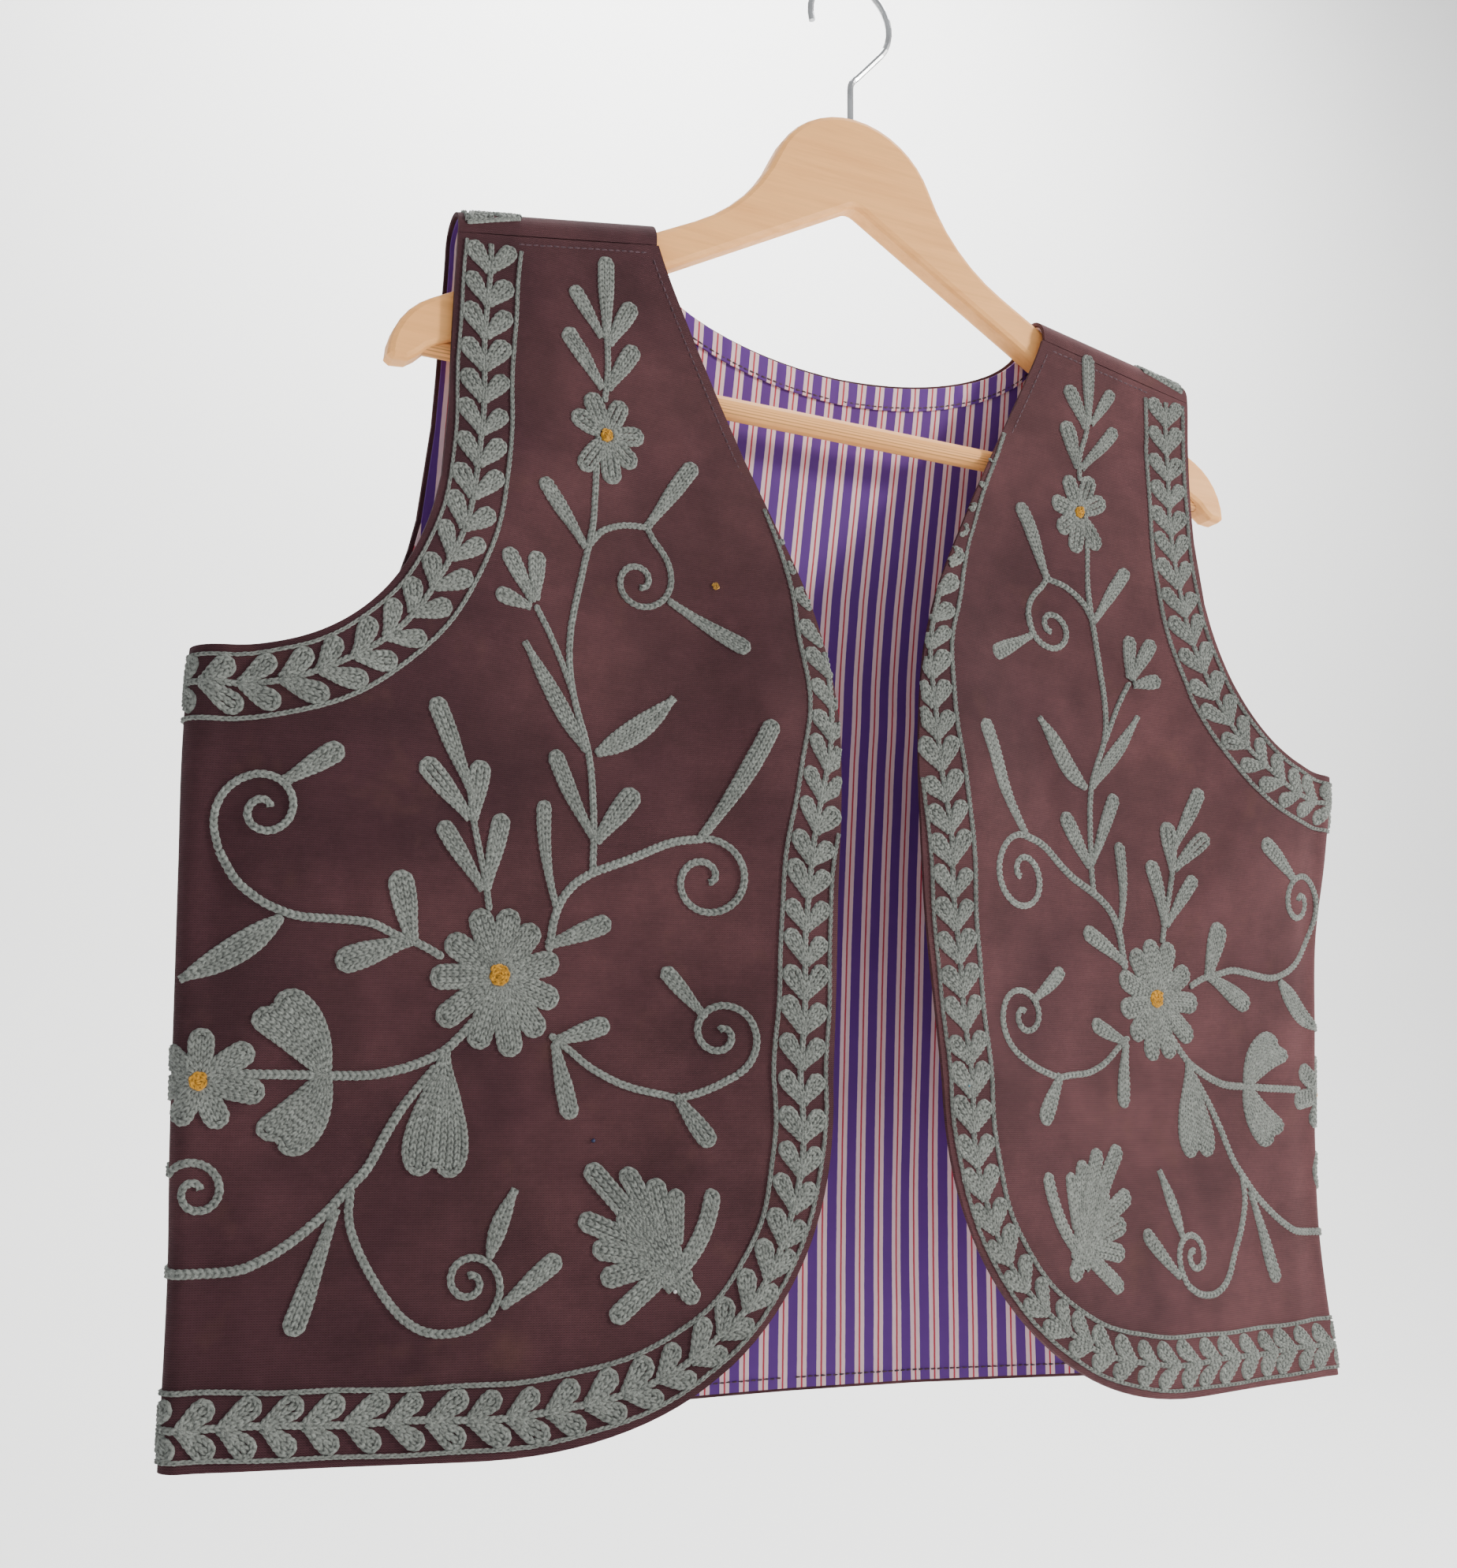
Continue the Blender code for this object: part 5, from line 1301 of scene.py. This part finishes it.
class WAISTCOAT_OT_back(bpy.types.Operator):
    """The canvas back, its striped lining and the neck facing."""
    bl_idname = "waistcoat.back"
    bl_label = "Back"

    def execute(self, context):
        sizes = context.scene.waistcoat_cloth
        canvas = finish_named("plum canvas", canvas_finish)
        cotton = finish_named("striped cotton 0.0", stripe_finish)
        cloth("back_cloth", "back", *back_spots(0.0), 0.0, CANVAS, sizes.rim, [canvas],
              "plum_canvas", (0.56, 0.56), "hanger_board")
        cloth("lining_cloth", "back_lining", *back_spots(LINING_INSET), -CANVAS - GAP, LINING,
              sizes.rim * LINING_RIM, [cotton], "striped_cotton", (0.56, 0.56), "hanger_board")
        self.facing(sizes)
        return {"FINISHED"}

    def facing(self, sizes):
        """A narrow striped strip that follows the neckline, with small puckers."""
        turn, share = np.meshgrid(np.linspace(-FACING_TURN, FACING_TURN, 181),
                                  np.linspace(0.0, 1.0, 9), indexing="ij")
        out, height = beside_neck(np.abs(turn), LINING_INSET + FACING_WIDTH * share)
        wrap = -wrap_at(out.ravel(), height.ravel()).reshape(out.shape)
        ripple = np.sin(turn * 0.53) * np.sin(turn * 0.171 + 1.0) * share * (1.0 - share) * 4.0
        lift = -CANVAS - LINING - 2.0 * GAP - PUCKER * np.maximum(ripple, 0.0)
        cloth("facing_cloth", "neck_facing", pair(wrap, height), np.where(turn < 0.0, -1.0, 1.0),
              lift, LINING, sizes.rim * FACING_RIM, [stripe_finish(FACING_STRIPE_SHIFT)],
              "striped_cotton", (0.27, 0.02), "lining_cloth")


class WAISTCOAT_OT_embroidery(bpy.types.Operator):
    """Chain-stitched borders and plants."""
    bl_idname = "waistcoat.embroidery"
    bl_label = "Embroidery"

    def execute(self, context):
        sizes = context.scene.waistcoat_wool
        wool = finish_named("embroidery wool", wool_finish)
        for side in (-1, 1):
            work = Embroidery(side, sizes.seed + (side > 0))
            self.plant(work, drawn(side))
            self.front_borders(work)
            if side < 0:
                loose = spiral(LOOSE_STITCH, 0.0, 1.5, 1.5, 0.5)
                work.row(drawn(side)(loose), width=LOOSE_ROW, dye=0.85)
            nodes = [part + "_" + side_name(side) for part in (
                "edge_border", "arm_border", "small_flower", "big_flower", "side_flower",
                "pendant_leaf", "upper_heart", "lower_heart", "palm_leaf", "chest_leaf",
                "inner_leaf", "edge_leaf", "low_leaf", "top_sprig", "mid_sprig", "main_stem",
                "side_stem", "lower_stem")]
            work.piece("front_embroidery_" + side_name(side), nodes, wool, "grey_green_wool")
        for side in (-1, 1):
            work = Embroidery(side, sizes.seed + BACK_SEED + (side > 0))
            self.back_borders(work)
            nodes = ["back_arm_border_" + side_name(side)] + ["hem_border_back"] * (side > 0)
            work.piece("back_embroidery_" + side_name(side), nodes, wool, "grey_green_wool")
        return {"FINISHED"}

    def plant(self, work, place):
        """One front's leaves, stems, curls and flowers."""
        for x1, z1, x2, z2, half, kind, bend in LEAVES:
            sew_leaf(work, (x1, z1), (x2, z2), half, kind, place, bend)
        for width, points in STEMS:
            work.row(place(curved(points)), width=width)
        for out, height, angle, radius, turns, last, ease, width in CURLS:
            work.row(place(spiral((out, height), angle, radius, turns, last, ease)), width=width)
        for out, height, petals, half, heart in FLOWERS:
            sew_flower(work, (out, height), petals, half, heart, place)
        shift = np.array([RIGHT_FOLD_SHIFT if work.side > 0 else 0.0, 0.0])
        wrap, height, petals, half, heart = FOLD_FLOWER
        sew_flower(work, (wrap, height), petals, half, heart, lambda line: line + shift)
        fold_curl = np.concatenate([curved(FOLD_CURL_START),
                                    spiral(FOLD_CURL, 150.0, 12.5, -1.35, 2.0, 0.8)])
        for line in (fold_curl + shift, *(curved(twig) for twig in FOLD_TWIGS)):
            work.row(line, width=FOLD_ROW)

    def front_borders(self, work):
        """Leaf borders along one front's free edge and hem, and its armhole."""
        heights = [row[work.side > 0] for row in EDGE_BORDER]

        def stem_reach(height):
            return spline(heights, [row[2] for row in EDGE_BORDER], height) - BORDER_INNER

        def on_cloth(line):
            return line[:, 0] < wrap_at(free_edge(line[:, 1] - 1.0), line[:, 1]) - 1.0

        edge = front_edge_line(heights[-1])[::-1]
        stem = moved_in(edge, stem_reach)
        room = np.linalg.norm(stem[:, None] - edge, axis=2).min(axis=1) - CORNER_MARGIN
        kept = np.where(stem[:, 1] < CORNER_TOP, np.clip(room / BORDER_OUTER, 0.5, 1.0), 1.0)
        border(work, stem, 1.0, BORDER_INNER, BORDER_OUTER, on_cloth, kept)
        border(work, moved_in(arm_line(1)[::-1], -BORDER_FROM_EDGE), -1.0, ARM_BORDER_INNER,
               BORDER_OUTER)

    def back_borders(self, work):
        """Leaf borders along the back's armhole and half its hem."""
        border(work, moved_in(arm_line(-1)[::-1], BORDER_FROM_EDGE), 1.0, ARM_BORDER_INNER,
               BORDER_OUTER, closed=True)
        level = HEM + BORDER_FROM_EDGE
        run = np.linspace(SIDE_SEAM - 1.0, -float(wrap_at(0.0, level)) + 0.5, 120)
        border(work, pair(run, level), -1.0, BORDER_INNER, BORDER_OUTER)


class WAISTCOAT_OT_seams(bpy.types.Operator):
    """Lines of running stitch beside the edges, and three stray beads."""
    bl_idname = "waistcoat.seams"
    bl_label = "Seams"

    def execute(self, context):
        thread = finish_named("plum sewing thread", thread_finish)
        out = np.linspace(NECK_HALF + SHOULDER_SEAM_NECK, CREST_ARM[0] - SHOULDER_SEAM_ARM, 40)
        heights = shoulder_base(out) - SEAM_BELOW_BASE - SHOULDER_SEAM_DROP
        shoulder = pair(wrap_at(out, heights), heights)
        level = HEM + HEM_SEAM_RISE
        run = np.linspace(SIDE_SEAM - HEM_SEAM_END, 1.0 - float(wrap_at(0.0, level)), 90)
        hem = pair(run, level)
        out, heights = beside_neck(np.linspace(2.0, FACING_TURN, 70),
                                   LINING_INSET + FACING_WIDTH - FACING_SEAM_IN)
        neck = pair(-wrap_at(out, heights), heights)
        inside = -CANVAS - LINING - GAP
        for side in (-1, 1):
            heights = np.linspace(float(shoulder_base(NECK_HALF)) - EDGE_SEAM_DROP,
                                  EDGE_BORDER[-1][side > 0], 60)
            edge = pair(wrap_at(free_edge(heights) + EDGE_SEAM_IN, heights), heights)
            for number, (part, lines, base, way) in enumerate((
                    ("edge", (edge, shoulder), 0.0, 1.0), ("lining", (hem,), inside, -1.0),
                    ("facing", (neck,), inside - LINING - GAP, -1.0))):
                seam = Embroidery(side, SEAM_SEED + number, SEAM_STITCH, SEAM_HEIGHT, base, way)
                for line in lines:
                    sew_seam(seam, line)
                seam.piece(part + "_stitching_" + side_name(side), (), thread, "plum_canvas")
        return self.beads()

    def beads(self):
        """Stray beads on the fronts."""
        for name, side, out, height, colour in BEADS:
            shape = bmesh.new()
            bmesh.ops.create_icosphere(shape, subdivisions=2, radius=BEAD_RADIUS * MM)
            at, _ = lifted(wrap_at(np.array([out]), np.array([height])), np.array([height]),
                           BEAD_RADIUS * 0.6, side)
            bmesh.ops.translate(shape, verts=shape.verts, vec=Vector(at[0]))
            finish = Finish(name, roughness=0.35)
            dull = tuple(part * 0.7 for part in colour)
            finish.use(base_color=finish.blend(finish.noise(900.0), colour, dull))
            piece(name, mesh_from(name, shape), [finish.material], (), "grey_green_wool")
        return {"FINISHED"}


OPERATORS = (WAISTCOAT_OT_stage, WAISTCOAT_OT_hanger, WAISTCOAT_OT_fronts, WAISTCOAT_OT_back,
             WAISTCOAT_OT_embroidery, WAISTCOAT_OT_seams)
GROUPS = (("waistcoat_cloth", ClothSizes), ("waistcoat_wool", WoolSizes),
          ("waistcoat_hanger", HangerSizes))


class WAISTCOAT_PT_panel(bpy.types.Panel):
    """The waistcoat's steps and sizes."""
    bl_idname = "WAISTCOAT_PT_panel"
    bl_label = "Embroidered Waistcoat"
    bl_space_type = "VIEW_3D"
    bl_region_type = "UI"
    bl_category = "Waistcoat"

    def draw(self, context):
        for step in OPERATORS:
            self.layout.operator(step.bl_idname)
        for group, _ in GROUPS:
            sizes = getattr(context.scene, group)
            for name in sizes.bl_rna.properties.keys():
                if name not in ("rna_type", "name"):
                    self.layout.prop(sizes, name)


CLASSES = tuple(sizes for _, sizes in GROUPS) + OPERATORS + (WAISTCOAT_PT_panel,)


def register():
    for each in CLASSES:
        bpy.utils.register_class(each)
    for group, sizes in GROUPS:
        setattr(bpy.types.Scene, group, PointerProperty(type=sizes))


def unregister():
    for group, _ in GROUPS:
        delattr(bpy.types.Scene, group)
    for each in reversed(CLASSES):
        bpy.utils.unregister_class(each)


def main():
    register()
    for step in OPERATORS:
        group, name = step.bl_idname.split(".")
        getattr(getattr(bpy.ops, group), name)()


if __name__ == "__main__":
    main()
